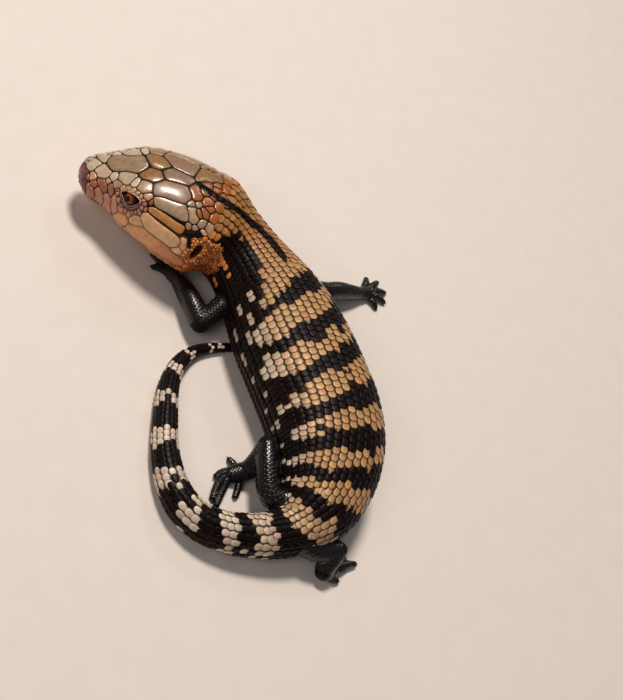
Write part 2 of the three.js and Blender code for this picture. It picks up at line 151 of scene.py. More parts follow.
def skinNormal(distance, angle):
    along = skinPoint(distance + 0.3, angle) - skinPoint(distance - 0.3, angle)
    around = skinPoint(distance, angle + 0.04) - skinPoint(distance, angle - 0.04)
    normal = unit(np.cross(along, around))
    outwards = skinPoint(distance, angle) - spineCentre(distance)
    return normal * np.sign((normal * outwards).sum(-1, keepdims=True))


def skinPlace(distance, degrees, side, depth=0.0, turn=0.0):
    angle = side * math.radians(degrees)
    normal = skinNormal(distance, angle)
    forward = spineFrame(distance)[1]
    along = unit(forward - normal * (forward @ normal))
    turned = side * math.radians(turn)
    along = along * math.cos(turned) + np.cross(normal, along) * math.sin(turned)
    across = -side * np.cross(normal, along)
    centre = skinPoint(distance, angle) - normal * depth
    return {"side": side, "centre": centre, "normal": normal, "along": along, "across": across}


# Eye, ear, nostril and mouth, all on the head: places as distance and degrees from the crown.
face = {
    "eye": (10.2, 60.0),
    "eyeDepth": 1.95,
    "eyeRadius": 1.7,
    "eyeSunk": 0.4,
    "lid": (2.9, 2.3, 2.12),
    # Outline of the eye's opening round the middle of the ball: forward, upward.
    "slit": [
        (2.25, 0.5), (1.69, 1.05), (0.9, 1.34), (0.1, 1.47), (-0.65, 1.52), (-1.39, 1.38), (-1.9, 1.1),
        (-1.74, 0.55), (-1.4, -0.05), (-0.86, -0.66), (-0.2, -0.93), (0.62, -0.8), (1.2, -0.32),
        (1.75, 0.14),
    ],
    "ear": (25.5, 72.0, 85.0),
    "earSize": (1.9, 0.8, 1.3),
    "nostril": (0.55, 38.0),
    "nostrilSize": (0.45, 0.4, 0.7),
    # How soft the edge of the eye's opening is, and the slope of the ear and the nostrils.
    "slitEdge": 0.12,
    "hollowEdge": (0.45, 1.1),
    # How low the mouth runs on each side: distance, degrees.
    "mouth": [
        (0.3, 112), (0.7, 101), (1.6, 98), (2.9, 100), (4.4, 105), (6.1, 109), (9, 113), (12, 116),
        (21, 118),
    ],
    "mouthCorner": 21.0,
    "mouthDepth": 0.5,
    "mouthWidth": 0.3,
}
eyePlaces = [skinPlace(*face["eye"], side, face["eyeDepth"]) for side in (1, -1)]
earPlaces = [skinPlace(*face["ear"][:2], side, 0, face["ear"][2]) for side in (1, -1)]
nostrilPlaces = [skinPlace(*face["nostril"], side) for side in (1, -1)]


def inPlace(place, points):
    away = points - place["centre"]
    return [away @ place[key] for key in ("along", "across", "normal")]


def mouthLine(count=40):
    reach = np.linspace(face["mouthCorner"], 0.4, count)
    turn = np.radians(curveAt(face["mouth"], reach)[:, 0])
    left, right = skinPoint(reach, turn), skinPoint(reach[::-1], -turn[::-1])
    return np.concatenate([left, skinPoint(np.array([0.25]), np.pi), right])


def awayFromLine(points, line):
    best = np.full(len(points), 1e9)
    for a, b in zip(line[:-1], line[1:]):
        t = np.clip(((points - a) @ (b - a)) / ((b - a) @ (b - a)), 0, 1)
        best = np.minimum(best, np.linalg.norm(points - a - t[:, None] * (b - a), axis=1))
    return best


mouthCourse = mouthLine()


def smooth(low, high, value):
    t = np.clip((value - low) / (high - low), 0, 1)
    return t * t * (3 - 2 * t)


def closedCurve(points, count, out=0.0):
    rows = np.array(points, float)
    t = np.linspace(0, len(rows), count, endpoint=False)
    i, u = t.astype(int), (t % 1)[:, None]
    a, b, c, d = (rows[(i + k) % len(rows)] for k in (-1, 0, 1, 2))
    curve = b + 0.5 * u * (c - a + u * (2 * a - 5 * b + 4 * c - d + u * (3 * (b - c) + d - a)))
    ahead = unit(np.roll(curve, -1, axis=0) - np.roll(curve, 1, axis=0))
    return curve + out * np.stack([ahead[:, 1], -ahead[:, 0]], -1)


slitCurve = closedCurve(face["slit"], 72)


# How far a place lies outside the eye's opening, less than nothing inside it.
def slitAt(x, y):
    away = np.full(len(x), 3.0)
    near = np.where((np.abs(x) < 4) & (np.abs(y) < 3.5))[0]
    spot = np.stack([x[near], y[near]], -1)
    inside = np.zeros(len(near), bool)
    best = np.full(len(near), 9.0)
    for a, b in zip(slitCurve, np.roll(slitCurve, -1, axis=0)):
        t = np.clip(((spot - a) @ (b - a)) / ((b - a) @ (b - a)), 0, 1)
        best = np.minimum(best, np.linalg.norm(spot - a - t[:, None] * (b - a), axis=1))
        crosses = (a[1] > spot[:, 1]) != (b[1] > spot[:, 1])
        rise = b[1] - a[1] if abs(b[1] - a[1]) > 1e-9 else 1e-9
        inside ^= crosses & (spot[:, 0] < a[0] + (spot[:, 1] - a[1]) * (b[0] - a[0]) / rise)
    away[near] = np.where(inside, -best, best)
    return away


# The lids swell over the eye, and the slit, ear, nostrils and mouth sink in.
def faceDetail(points, normals, inset):
    points = points.copy()
    for place in eyePlaces:
        x, y, z = inPlace(place, points)
        a, b, c = (r - inset for r in face["lid"])
        dome = c * np.sqrt(np.clip(1 - (x / a) ** 2 - (y / b) ** 2, 0, 1))
        near = (z > 0) & ((x / a) ** 2 + (y / b) ** 2 < 1)
        lift = np.where(near, np.maximum(dome - z, 0), 0)
        points += place["normal"] * lift[:, None]
        x, y, z = inPlace(place, points)
        ball = np.sqrt(np.clip(face["eyeRadius"] ** 2 - x**2 - y**2, 0, None)) - face["eyeSunk"]
        opened = 1 - smooth(-face["slitEdge"], face["slitEdge"], slitAt(x, y))
        opened = np.where(z > 0, opened, 0)
        points += place["normal"] * (opened * np.minimum(ball - z, 0))[:, None]
    hollows = [(place, face["earSize"]) for place in earPlaces]
    hollows += [(place, face["nostrilSize"]) for place in nostrilPlaces]
    for place, size in hollows:
        x, y, z = inPlace(place, points)
        away = np.sqrt((x / size[0]) ** 2 + (y / size[1]) ** 2)
        sink = np.where(np.abs(z) < 3, size[2] * (1 - smooth(*face["hollowEdge"], away)), 0)
        points -= place["normal"] * sink[:, None]
    sink = face["mouthDepth"] * np.exp(-((awayFromLine(points, mouthCourse) / face["mouthWidth"]) ** 2))
    return points - normals * sink[:, None]


# Legs: joints as x, y, z, radius, root first, with the sole and five digits each.
limbs = {
    "fore_left": {
        "upper": [
            (-17.0, 6.0, 7.0, 2.3), (-21.2, 4.4, 5.8, 2.2), (-24.6, 1.2, 4.8, 2.1),
            (-27.4, -1.2, 4.1, 2.1),
        ],
        "lower": [
            (-27.4, -1.2, 4.1, 2.1), (-28.1, 2.4, 3.8, 2.3), (-28.9, 6.3, 3.0, 2.1),
            (-29.7, 9.4, 2.1, 1.7),
        ],
        "sole": [(-29.7, 9.4, 2.1, 1.7), (-30.2, 11.0, 1.45, 1.8), (-30.9, 12.6, 1.0, 1.6)],
        "digits": [
            [(-30.1, 12.2, 0.85), (-29.4, 13.8, 0.95), (-29.2, 15.2, 0.5)],
            [(-30.8, 13.0, 0.85), (-30.7, 15.0, 1.0), (-30.6, 16.9, 0.5)],
            [(-31.4, 13.0, 0.85), (-32.0, 15.1, 1.0), (-32.4, 17.0, 0.5)],
            [(-31.8, 12.7, 0.85), (-33.0, 14.3, 1.0), (-33.9, 15.8, 0.5)],
            [(-31.6, 11.9, 0.85), (-32.9, 12.4, 0.9), (-34.1, 12.7, 0.5)],
        ],
    },
    "fore_right": {
        "upper": [
            (-9.5, 8.0, 7.2, 2.3), (-4.8, 10.2, 6.0, 2.2), (-0.6, 11.4, 4.9, 1.95),
            (3.4, 12.2, 4.1, 1.95),
        ],
        "lower": [
            (3.4, 12.2, 4.1, 1.95), (6.6, 13.2, 3.7, 1.95), (10.0, 14.1, 2.8, 1.7),
            (13.0, 15.0, 1.9, 1.4),
        ],
        "sole": [(13.0, 15.0, 1.9, 1.4), (14.4, 15.6, 1.35, 1.6), (15.9, 16.3, 1.0, 1.5)],
        "digits": [
            [(15.2, 17.2, 0.85), (16.0, 18.7, 0.9), (16.6, 20.0, 0.5)],
            [(16.2, 17.1, 0.85), (17.8, 18.4, 1.0), (19.2, 19.6, 0.5)],
            [(16.6, 16.6, 0.85), (18.7, 17.1, 1.0), (20.6, 17.3, 0.5)],
            [(16.5, 15.9, 0.85), (18.4, 15.5, 1.0), (20.0, 14.8, 0.5)],
            [(15.8, 15.1, 0.85), (16.9, 14.1, 0.9), (17.6, 13.0, 0.5)],
        ],
    },
    "hind_left": {
        "upper": [
            (-13.2, -38.6, 6.0, 2.6), (-18.3, -37.4, 5.7, 2.35),
            (-18.6, -31.9, 6.3, 2.3), (-17.9, -27.2, 6.3, 2.05),
        ],
        "lower": [
            (-17.9, -27.2, 6.3, 2.05), (-19.0, -29.2, 4.8, 2.0),
            (-19.9, -30.4, 3.4, 2.0), (-20.6, -31.0, 2.5, 1.95),
        ],
        "sole": [(-20.6, -31.0, 2.5, 1.95), (-22.1, -31.2, 1.75, 1.95), (-23.7, -31.5, 1.2, 1.65)],
        "digits": [
            [(-21.9, -29.8, 0.95), (-22.5, -28.8, 0.9), (-23.0, -27.9, 0.6)],
            [(-24.0, -30.7, 0.9), (-25.2, -31.1, 0.9), (-26.3, -31.9, 0.55)],
            [(-25.0, -31.8, 0.9), (-26.7, -34.2, 1.0), (-27.6, -36.5, 0.55)],
            [(-24.2, -32.5, 0.9), (-25.8, -35.3, 1.0), (-27.0, -37.9, 0.55)],
            [(-21.6, -32.6, 0.9), (-22.2, -34.2, 0.9), (-22.8, -35.6, 0.55)],
        ],
    },
    "hind_right": {
        "upper": [
            (-13.4, -43.2, 5.0, 2.5), (-12.0, -46.3, 4.9, 2.2),
            (-8.4, -47.2, 4.8, 2.0), (-4.9, -46.4, 4.8, 1.85),
        ],
        "lower": [
            (-4.9, -46.4, 4.8, 1.85), (-6.4, -48.2, 3.6, 2.0),
            (-7.2, -49.2, 2.8, 1.95), (-7.4, -49.8, 2.3, 1.85),
        ],
        "sole": [(-7.4, -49.8, 2.3, 1.85), (-5.6, -49.2, 1.4, 1.6), (-3.8, -48.2, 1.0, 1.4)],
        "digits": [
            [(-4.4, -47.0, 0.85), (-3.5, -46.0, 0.85), (-2.9, -45.2, 0.5)],
            [(-3.5, -47.3, 0.85), (-2.1, -46.4, 0.9), (-1.2, -45.7, 0.5)],
            [(-2.9, -47.9, 0.9), (-0.8, -47.2, 0.95), (1.0, -46.8, 0.55)],
            [(-3.3, -48.6, 0.85), (-2.4, -48.3, 0.85), (-1.6, -48.0, 0.5)],
            [(-5.6, -50.0, 0.85), (-4.8, -50.5, 0.85), (-3.6, -50.6, 0.5)],
        ],
    },
}
digitSize = (0.72, 0.66, 0.56)


def tubeFrame(points, t):
    shiftX, shiftY = body["shift"]
    joints = [(i, x + shiftX, y + shiftY, z, radius) for i, (x, y, z, radius) in enumerate(points)]
    last = len(points) - 1
    t = np.asarray(t, float)
    here = curveAt(joints, t)
    ahead = curveAt(joints, np.minimum(t + 0.05, last))[..., :3]
    behind = curveAt(joints, np.maximum(t - 0.05, 0))[..., :3]
    forward = unit(ahead - behind)
    side = unit(np.cross([0.0, 0.0, 1.0], forward) + np.array([1e-4, 0, 0]))
    return here[..., :3], forward, side, np.cross(forward, side), here[..., 3]


def tubePoint(points, t, angle, grow=0.0, flatness=1.0):
    t, angle = np.broadcast_arrays(np.asarray(t, float), np.asarray(angle, float))
    centre, _, side, up, radius = tubeFrame(points, t)
    r = (radius + grow)[..., None]
    return centre + side * r * np.sin(angle)[..., None] + up * r * flatness * np.cos(angle)[..., None]


def digitPoints(digit):
    return [(*p, r) for p, r in zip(digit, digitSize)]


def ringFaces(rings, around, offset=0):
    faces = []
    for r in range(rings - 1):
        for k in range(around):
            a, b = r * around + k, r * around + (k + 1) % around
            faces.append((offset + a, offset + b, offset + b + around, offset + a + around))
    last = (rings - 1) * around
    faces.append(tuple(offset + k for k in range(around))[::-1])
    faces.append(tuple(offset + last + k for k in range(around)))
    return faces


def roundedTube(points, grow=0.0, flatness=1.0, around=24, step=0.1):
    last = len(points) - 1
    angles = np.linspace(0, 2 * np.pi, around, endpoint=False)
    rings = []
    for end, sign in ((0, -1), (last, 1)):
        centre, forward, side, up, radius = tubeFrame(points, float(end))
        r = radius + grow
        caps = []
        for tilt in (80, 55, 30):
            out, wide = math.sin(math.radians(tilt)) * r, math.cos(math.radians(tilt)) * r
            ring = centre + sign * forward * out + side * wide * np.sin(angles)[:, None]
            caps.append(ring + up * wide * flatness * np.cos(angles)[:, None])
        rings.append(caps)
    middle = [tubePoint(points, t, angles, grow, flatness) for t in np.arange(0, last + 1e-6, step)]
    return np.array(rings[0] + middle + rings[1][::-1])


def linear(hexColour):
    parts = [int(hexColour[i : i + 2], 16) / 255 for i in (1, 3, 5)]
    return [c / 12.92 if c <= 0.04045 else ((c + 0.055) / 1.055) ** 2.4 for c in parts]


# A material's nodes are added with one call each.
def addNode(material, kind, settings=None, inputs=None):
    node = material.node_tree.nodes.new(kind)
    for key, value in (settings or {}).items():
        setattr(node, key, value)
    for key, value in (inputs or {}).items():
        if isinstance(value, bpy.types.NodeSocket):
            material.node_tree.links.new(value, node.inputs[key])
        else:
            node.inputs[key].default_value = value
    return node


def newMaterial(name):
    material = bpy.data.materials.new(name)
    material.use_nodes = True
    material.node_tree.nodes.clear()
    return material


def finishMaterial(material, shader):
    addNode(material, "ShaderNodeOutputMaterial", {}, {"Surface": shader.outputs["BSDF"]})
    return material


# Keratin over pigment: the markings carry the colour, grain and growth lines carry the finish.
def keratin(name, finish):
    material = newMaterial(name)
    coords = addNode(material, "ShaderNodeTexCoord").outputs["Object"]
    paint = addNode(material, "ShaderNodeAttribute", {"attribute_name": "markings"})
    noise = {"Vector": coords, "Scale": finish["mottleScale"], "Detail": 4.0}
    mottle = addNode(material, "ShaderNodeTexNoise", {}, noise)
    darkest, palest = finish["mottle"]
    shade = addNode(material, "ShaderNodeMapRange", {}, {
        "Value": mottle.outputs["Fac"], "From Min": 0.3, "From Max": 0.7,
        "To Min": darkest, "To Max": palest,
    })
    colour = addNode(material, "ShaderNodeVectorMath", {"operation": "SCALE"}, {
        0: paint.outputs["Color"], "Scale": shade.outputs["Result"],
    })
    noise = {"Vector": coords, "Scale": finish["grainScale"], "Detail": 3.0}
    grain = addNode(material, "ShaderNodeTexNoise", {}, noise)
    smoothest, roughest = finish["roughness"]
    rough = addNode(material, "ShaderNodeMapRange", {}, {
        "Value": grain.outputs["Fac"], "From Min": 0.3, "From Max": 0.7,
        "To Min": smoothest, "To Max": roughest,
    })
    bump = addNode(material, "ShaderNodeBump", {}, {
        "Strength": finish["bump"], "Distance": 0.00005, "Height": grain.outputs["Fac"],
    })
    # Dark pigment lies under a duller surface than pale pigment.
    gloss = {"specular": finish["specular"], "coat": finish["coat"]}
    for key, full in gloss.items():
        if full > 0 and finish["darkGlint"] < 1:
            gloss[key] = addNode(material, "ShaderNodeMapRange", {}, {
                "Value": paint.outputs["Fac"], "From Min": 0.01, "From Max": 0.12,
                "To Min": full * finish["darkGlint"], "To Max": full,
            }).outputs["Result"]
    shader = addNode(material, "ShaderNodeBsdfPrincipled", {}, {
        "Base Color": colour.outputs["Vector"],
        "Roughness": rough.outputs["Result"],
        "Normal": bump.outputs["Normal"],
        "IOR": 1.54,
        "Specular IOR Level": gloss["specular"],
        "Coat Weight": gloss["coat"],
        "Coat Roughness": 0.12,
        "Subsurface Weight": 0.0,
    })
    return finishMaterial(material, shader)


# Scales are polished keratin with a faint grain. Noise scales are per metre, so 1400 is 0.7 mm. Where
# pigment is black the gloss falls to the share darkGlint.
skinMaterial = keratin("soft skin between scales", {
    "mottleScale": 900.0, "mottle": (0.75, 1.15), "grainScale": 5200.0, "roughness": (0.5, 0.7),
    "bump": 0.5, "coat": 0.0, "specular": 0.25, "darkGlint": 0.5,
})
scaleMaterial = keratin("scale keratin, smooth and glossy", {
    "mottleScale": 1400.0, "mottle": (0.86, 1.14), "grainScale": 4200.0, "roughness": (0.34, 0.5),
    "bump": 0.25, "coat": 0.03, "specular": 0.32, "darkGlint": 0.3,
})
shieldMaterial = keratin("head shield keratin, polished", {
    "mottleScale": 1100.0, "mottle": (0.8, 1.18), "grainScale": 3600.0, "roughness": (0.24, 0.4),
    "bump": 0.2, "coat": 0.35, "specular": 0.5, "darkGlint": 0.15,
})
legMaterial = keratin("leg scale keratin, small and shiny", {
    "mottleScale": 1400.0, "mottle": (0.8, 1.2), "grainScale": 4200.0, "roughness": (0.2, 0.34),
    "bump": 0.2, "coat": 0.2, "specular": 0.5, "darkGlint": 0.85,
})
clawMaterial = keratin("claw horn, dark and worn smooth", {
    "mottleScale": 1600.0, "mottle": (0.7, 1.3), "grainScale": 6000.0, "roughness": (0.25, 0.4),
    "bump": 0.2, "coat": 0.2, "specular": 0.5, "darkGlint": 1.0,
})
eyeMaterial = keratin("wet eye, clear cornea over the iris", {
    "mottleScale": 2600.0, "mottle": (0.85, 1.15), "grainScale": 9000.0, "roughness": (0.05, 0.09),
    "bump": 0.02, "coat": 0.4, "specular": 0.2, "darkGlint": 0.2,
})

tones = {
    "tan": "#b28759",
    "nape": "#9f6c38",
    "cream": "#cbb9a6",
    "black": "#140b0b",
    "blackBrown": "#170d0a",
    "belly": "#8a6f55",
    "snout": "#b2a086",
    "olive": "#b2a286",
    "frontal": "#8d765d",
    "bronze": "#87623b",
    "kite": "#866f58",
    "parietal": "#8e6d58",
    "brow": "#bfaf9b",
    "orange": "#92531c",
    "throat": "#d5823f",
    "cheek": "#d6945b",
    "cheekPale": "#d2a074",
    "pinkTan": "#bb8c67",
    "paleTemple": "#9a7f64",
    "lip": "#b87a5f",
    "rostral": "#684037",
    # Painted shade, dark red-brown, in the ear opening and the nostrils.
    "hollowShade": "#3d120b",
    "seam": "#150e0c",
    "legBlack": "#100d0e",
    "claw": "#8a6a5c",
    "clawTip": "#5a3f36",
    "irisInner": "#8c441f",
    "irisOuter": "#47200f",
    # Painted shade under each lid roll.
    "lidUnderShade": "#170e0c",
    "lidPale": "#e2bda6",
    "lidDark": "#7c554a",
    # Pale grey of the lower lid's rim, painted as a wet sheen.
    "lidWet": "#93797a",
    "lidBrown": "#7d5540",
    "nasal": "#8f5f51",
    "red": "#915944",
    "strip": "#b0773f",
    "cheekDeep": "#b35c1a",
    "lidInner": "#4a1f18",
}
tone = {name: np.array(linear(value)) for name, value in tones.items()}


def blend(a, b, share):
    share = np.asarray(share, float)[..., None]
    return a * (1 - share) + b * share


# Pale bands across the back, from the right side to the left: degrees, front edge, rear edge.
bands = [
    [
        (-78, 46.5, 50.0), (-45, 47.9, 52.0), (0, 50.8, 55.5), (24, 51.4, 57.1), (46, 52.0, 57.2),
        (64, 54.6, 56.8),
    ],
    [
        (-78, 55.0, 58.5), (-45, 56.0, 60.0), (0, 58.9, 62.7), (27, 60.2, 65.4), (45, 60.3, 65.3),
        (66, 59.5, 63.8), (81, 61.2, 63.0),
    ],
    [
        (-78, 63.0, 66.5), (-45, 64.0, 67.8), (-15, 65.3, 69.6), (6, 66.8, 71.4), (28, 68.1, 73.4),
        (50, 69.0, 73.4), (73, 71.3, 73.0),
    ],
    [
        (-78, 71.0, 74.3), (-29, 72.8, 76.5), (2, 74.5, 77.9), (28, 76.3, 79.9), (48, 77.3, 80.7),
        (71, 80.0, 81.4),
    ],
    [
        (-78, 78.3, 81.0), (-35, 79.4, 82.1), (-2, 81.5, 85.4), (24, 82.8, 86.7), (50, 84.2, 86.8),
        (67, 85.3, 86.8), (86, 86.0, 87.0),
    ],
    [
        (-78, 85.0, 88.0), (-31, 86.3, 89.5), (-8, 87.3, 91.0), (20, 88.9, 91.7), (48, 89.9, 91.9),
        (66, 90.7, 92.0), (90, 90.3, 91.5),
    ],
    [
        (-75, 93.5, 96.5), (-52, 92.7, 97.3), (-30, 92.8, 98.0), (-10, 94.6, 99.3), (20, 94.8, 100.0),
        (45, 94.4, 99.8), (60, 95.0, 98.5), (104, 97.0, 98.3),
    ],
    [(-150, 102.5, 106.3), (-45, 102.5, 106.3), (0, 102.9, 107.4), (150, 102.7, 107.6)],
    [(-150, 109.6, 112.0), (-45, 109.6, 112.0), (0, 109.8, 113.2), (150, 109.8, 113.6)],
]
bands += [
    [(-150, front, rear), (150, front, rear)]
    for front, rear in (
        (116.4, 119.2), (123.1, 127.2), (131.5, 135.2), (140.5, 143.6), (147.8, 150.6), (153.8, 156.0),
        (167.0, 169.5)
    )
]
# Where the dark side of the neck begins, and the stripe down its middle: distance, degrees.
napeEdge = [(26.5, 52), (28, 45), (31, 33), (36, 19), (40, 23), (44.6, 27), (47.4, 36), (50, 45)]
napeRear = [(-60, 44), (-11, 45.8), (7, 47.4), (20, 48.9), (34, 50.1), (60, 50.5)]
stripeCourse = [
    (19.5, 0, 0.25), (20.3, 0, 0.68), (23.2, 2, 0.8), (26.9, 3, 0.83), (30.8, -2, 0.92),
    (34, -10, 1.04), (36.5, -15, 1.14), (40.3, -13, 1.02), (41.6, -11, 0.62), (42.4, -10, 0.2),
]
# How far back the warm brown of the throat and the skin round the ear reaches: degrees, distance.
throatEdge = [
    (40, 27), (50, 28.4), (56, 30.5), (62, 32.6), (70, 33.9), (82, 34.6), (96, 34.6), (112, 33.4),
    (140, 31.5), (180, 31),
]
midline = [
    (0, -14), (3, -12), (6.5, -6), (10, -1), (13, 2), (18, 2), (22, 0), (26, 0), (37, -15), (60, -16),
    (90, -8), (110, 0), (172, 0),
]


def table(rows, value, column=1):
    return np.interp(value, [r[0] for r in rows], [r[column] for r in rows])


# Says how pale a place is, 1 for a band and 0 for the dark ground.
def paleAt(distance, degrees):
    distance, degrees = np.broadcast_arrays(np.asarray(distance, float), np.asarray(degrees, float))
    pale = np.zeros(distance.shape)
    for band in bands:
        across = (degrees > band[0][0]) & (degrees < band[-1][0])
        inBand = (distance > table(band, degrees)) & (distance < table(band, degrees, 2))
        pale = np.where(across & inBand, 1, pale)
    fromMiddle = np.abs(degrees - table(midline, distance))
    leftEdge = table(napeEdge, distance) + 16 * smooth(30, 40, distance)
    inNape = (distance < table(napeRear, degrees)) & (fromMiddle < leftEdge)
    pale = np.where(inNape, 1, pale)
    return np.where(distance < table(throatEdge, np.abs(degrees)), 1, pale)


# The dark stripe down the nape has clean edges that do not follow the scales.
stripeRun = np.linspace(19.5, 42.4, 110)
stripeLine = skinPoint(stripeRun, np.radians(table(stripeCourse, stripeRun)))
stripeHalf = table(stripeCourse, stripeRun, 2)


def stripeShare(points):
    away = np.linalg.norm(points[:, None] - stripeLine[None], axis=2) - stripeHalf[None]
    return 1 - smooth(-0.1, 0.1, away.min(axis=1))


# Bands are tan on the back, cream at the sides and the tail, and deeper on the nape and the throat.
# Pairs say where a tone begins and where it is full, in degrees or in distance.
coatPaint = {
    "middle": -10,
    "side": (35, 80),
    "sideStarts": (40, 46),
    "tail": (88, 114),
    "napeEnds": (34, 48),
    "throatEnds": (38, 41),
    "throat": (25, 52),
    "belly": (112, 140),
    "bellyShare": 0.8,
}


def coatColour(distance, degrees, pale):
    distance, degrees = np.asarray(distance, float), np.asarray(degrees, float)
    side = smooth(*coatPaint["side"], np.abs(degrees - coatPaint["middle"]))
    cream = np.maximum(
        side * smooth(*coatPaint["sideStarts"], distance), smooth(*coatPaint["tail"], distance)
    )
    warm = blend(tone["tan"], tone["cream"], cream)
    warm = blend(warm, tone["nape"], 1 - smooth(*coatPaint["napeEnds"], distance))
    throat = 1 - smooth(*coatPaint["throatEnds"], distance)
    throat = throat * smooth(*coatPaint["throat"], np.abs(degrees))
    warm = blend(warm, tone["throat"], throat)
    dark = blend(tone["black"], tone["blackBrown"], side)
    under = smooth(*coatPaint["belly"], np.abs(degrees))
    return blend(blend(dark, warm, pale), tone["belly"], coatPaint["bellyShare"] * under)


def newPiece(name, points, faces, material, colours=None, uv=None, slot="trunk_skin"):
    mesh = bpy.data.meshes.new(name)
    mesh.from_pydata((np.asarray(points) * millimetre).tolist(), [], faces)
    mesh.update()
    mesh.polygons.foreach_set("use_smooth", [True] * len(mesh.polygons))
    if colours is not None:
        paintPiece(mesh, colours)
    if uv is not None:
        loops = np.zeros(len(mesh.loops), int)
        mesh.loops.foreach_get("vertex_index", loops)
        layer = mesh.uv_layers.new(name="OFBake")
        layer.data.foreach_set("uv", np.asarray(uv)[loops].ravel())
    mesh.materials.append(material)
    piece = bpy.data.objects.new(name, mesh)
    bpy.context.collection.objects.link(piece)
    if slot:
        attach(piece, "root")
    return piece


def paintPiece(mesh, colours):
    rgba = np.concatenate([np.asarray(colours), np.ones((len(colours), 1))], 1)
    layer = mesh.color_attributes.new(name="markings", type="FLOAT_COLOR", domain="POINT")
    layer.data.foreach_set("color", rgba.astype(np.float32).ravel())


def pick(piece):
    bpy.ops.object.select_all(action="DESELECT")
    piece.select_set(True)
    bpy.context.view_layer.objects.active = piece


def applyModifier(piece, kind, settings):
    pick(piece)
    modifier = piece.modifiers.new(kind, kind)
    for key, value in settings.items():
        setattr(modifier, key, value)
    bpy.ops.object.modifier_apply(modifier=modifier.name)


# The trunk gives way where the end of the tail lies under the flank.
tailRest = {"from": 158.0, "gap": 0.3, "near": (40.0, 60.0), "below": 4.0}
tailStations = np.linspace(tailRest["from"], body["end"], 60)
tailAxis = spineCentre(tailStations)
tailRadius = curveAt(body["size"], tailStations)[:, 1] + tailRest["gap"]


def clearOfTail(points, distance):
    flat = points.reshape(-1, 3).copy()
    where = np.broadcast_to(distance, points.shape[:-1]).ravel()
    first, last = tailRest["near"]
    chosen = np.where((where > first) & (where < last) & (flat[:, 2] < tailRest["below"]))[0]
    if len(chosen):
        away = flat[chosen, None] - tailAxis[None]
        far = np.linalg.norm(away, axis=2)
        k = np.argmin(far - tailRadius[None], axis=1)
        rows = np.arange(len(chosen))
        short = np.maximum(tailRadius[k] - far[rows, k], 0)
        flat[chosen] += unit(away[rows, k]) * short[:, None]
    return flat.reshape(points.shape)


# One skin over body and legs, as deep under the solids' surface as the coat is thick.
skin = {
    "inset": 0.3, "limbInset": 0.2, "digitInset": 0.02, "soleFlatness": 0.8, "around": 128,
    "voxel": 0.33, "smoothing": 3,
}


def bodyRings(grow, around, headStep=0.22, trunkStep=0.5, tailStep=0.35):
    distances = np.concatenate([
        [0.02, 0.1, 0.2],
        np.arange(0.35, 33, headStep),
        np.arange(33, 100, trunkStep),
        np.arange(100, 172.01, tailStep),
    ])
    angles = np.linspace(0, 2 * np.pi, around, endpoint=False)
    grid = skinPoint(distances[:, None], angles[None, :], grow)
    return distances, angles, grid


def gridNormals(grid):
    along = np.gradient(grid, axis=0)
    around = np.roll(grid, -1, axis=1) - np.roll(grid, 1, axis=1)
    normal = unit(np.cross(along, around))
    outwards = grid - grid.mean(axis=1, keepdims=True)
    return normal * np.sign((normal * outwards).sum(-1, keepdims=True) + 1e-9)


distances, angles, grid = bodyRings(-skin["inset"], skin["around"])
normals = gridNormals(grid)
inHead = distances < 33
headGrid = grid[inHead]
detailed = faceDetail(headGrid.reshape(-1, 3), normals[inHead].reshape(-1, 3), skin["inset"])
grid[inHead] = detailed.reshape(headGrid.shape)
grid = clearOfTail(grid, distances[:, None])
bodyPoints = grid.reshape(-1, 3)
bodyDistances = np.repeat(distances, len(angles))
bodyDegrees = np.tile(np.degrees(angles), len(distances))
skinPoints = [bodyPoints]
skinFaces = ringFaces(len(distances), skin["around"])
offset = len(skinPoints[0])
for name, limb in limbs.items():
    tubes = [(limb[key], skin["limbInset"], 1.0) for key in ("upper", "lower")]
    tubes += [(limb["sole"], skin["limbInset"], skin["soleFlatness"])]
    tubes += [(digitPoints(digit), skin["digitInset"], 1.0) for digit in limb["digits"]]
    for points, inset, flatness in tubes:
        rings = roundedTube(points, -inset, flatness)
        skinPoints.append(rings.reshape(-1, 3))
        skinFaces += ringFaces(len(rings), rings.shape[1], offset)
        offset += rings.shape[0] * rings.shape[1]
skinPiece = newPiece("skin", np.concatenate(skinPoints), skinFaces, skinMaterial)
applyModifier(skinPiece, "REMESH", {
    "mode": "VOXEL", "voxel_size": skin["voxel"] * millimetre, "use_smooth_shade": True,
})
applyModifier(skinPiece, "SMOOTH", {"factor": 0.5, "iterations": skin["smoothing"]})


def meshPoints(mesh):
    flat = np.zeros(len(mesh.vertices) * 3, np.float32)
    mesh.vertices.foreach_get("co", flat)
    return flat.reshape(-1, 3).astype(float) / millimetre


def settle(piece):
    points = meshPoints(piece.data)
    points[:, 2] = np.maximum(points[:, 2], 0)
    piece.data.vertices.foreach_set("co", (points * millimetre).astype(np.float32).ravel())
    piece.data.update()


settle(skinPiece)
triangles = sum(len(p.vertices) - 2 for p in skinPiece.data.polygons)
print("skin made,", triangles, "triangles")

# The skin's markings come from the nearest place on the body.
finder = KDTree(len(bodyPoints))
for i, point in enumerate(bodyPoints):
    finder.insert(point, i)
finder.balance()
vertices = meshPoints(skinPiece.data)
nearest = [finder.find(p) for p in vertices]
index = np.array([n[1] for n in nearest])
reach = np.array([n[2] for n in nearest])
atDistance = bodyDistances[index]
atDegrees = (bodyDegrees[index] + 180) % 360 - 180
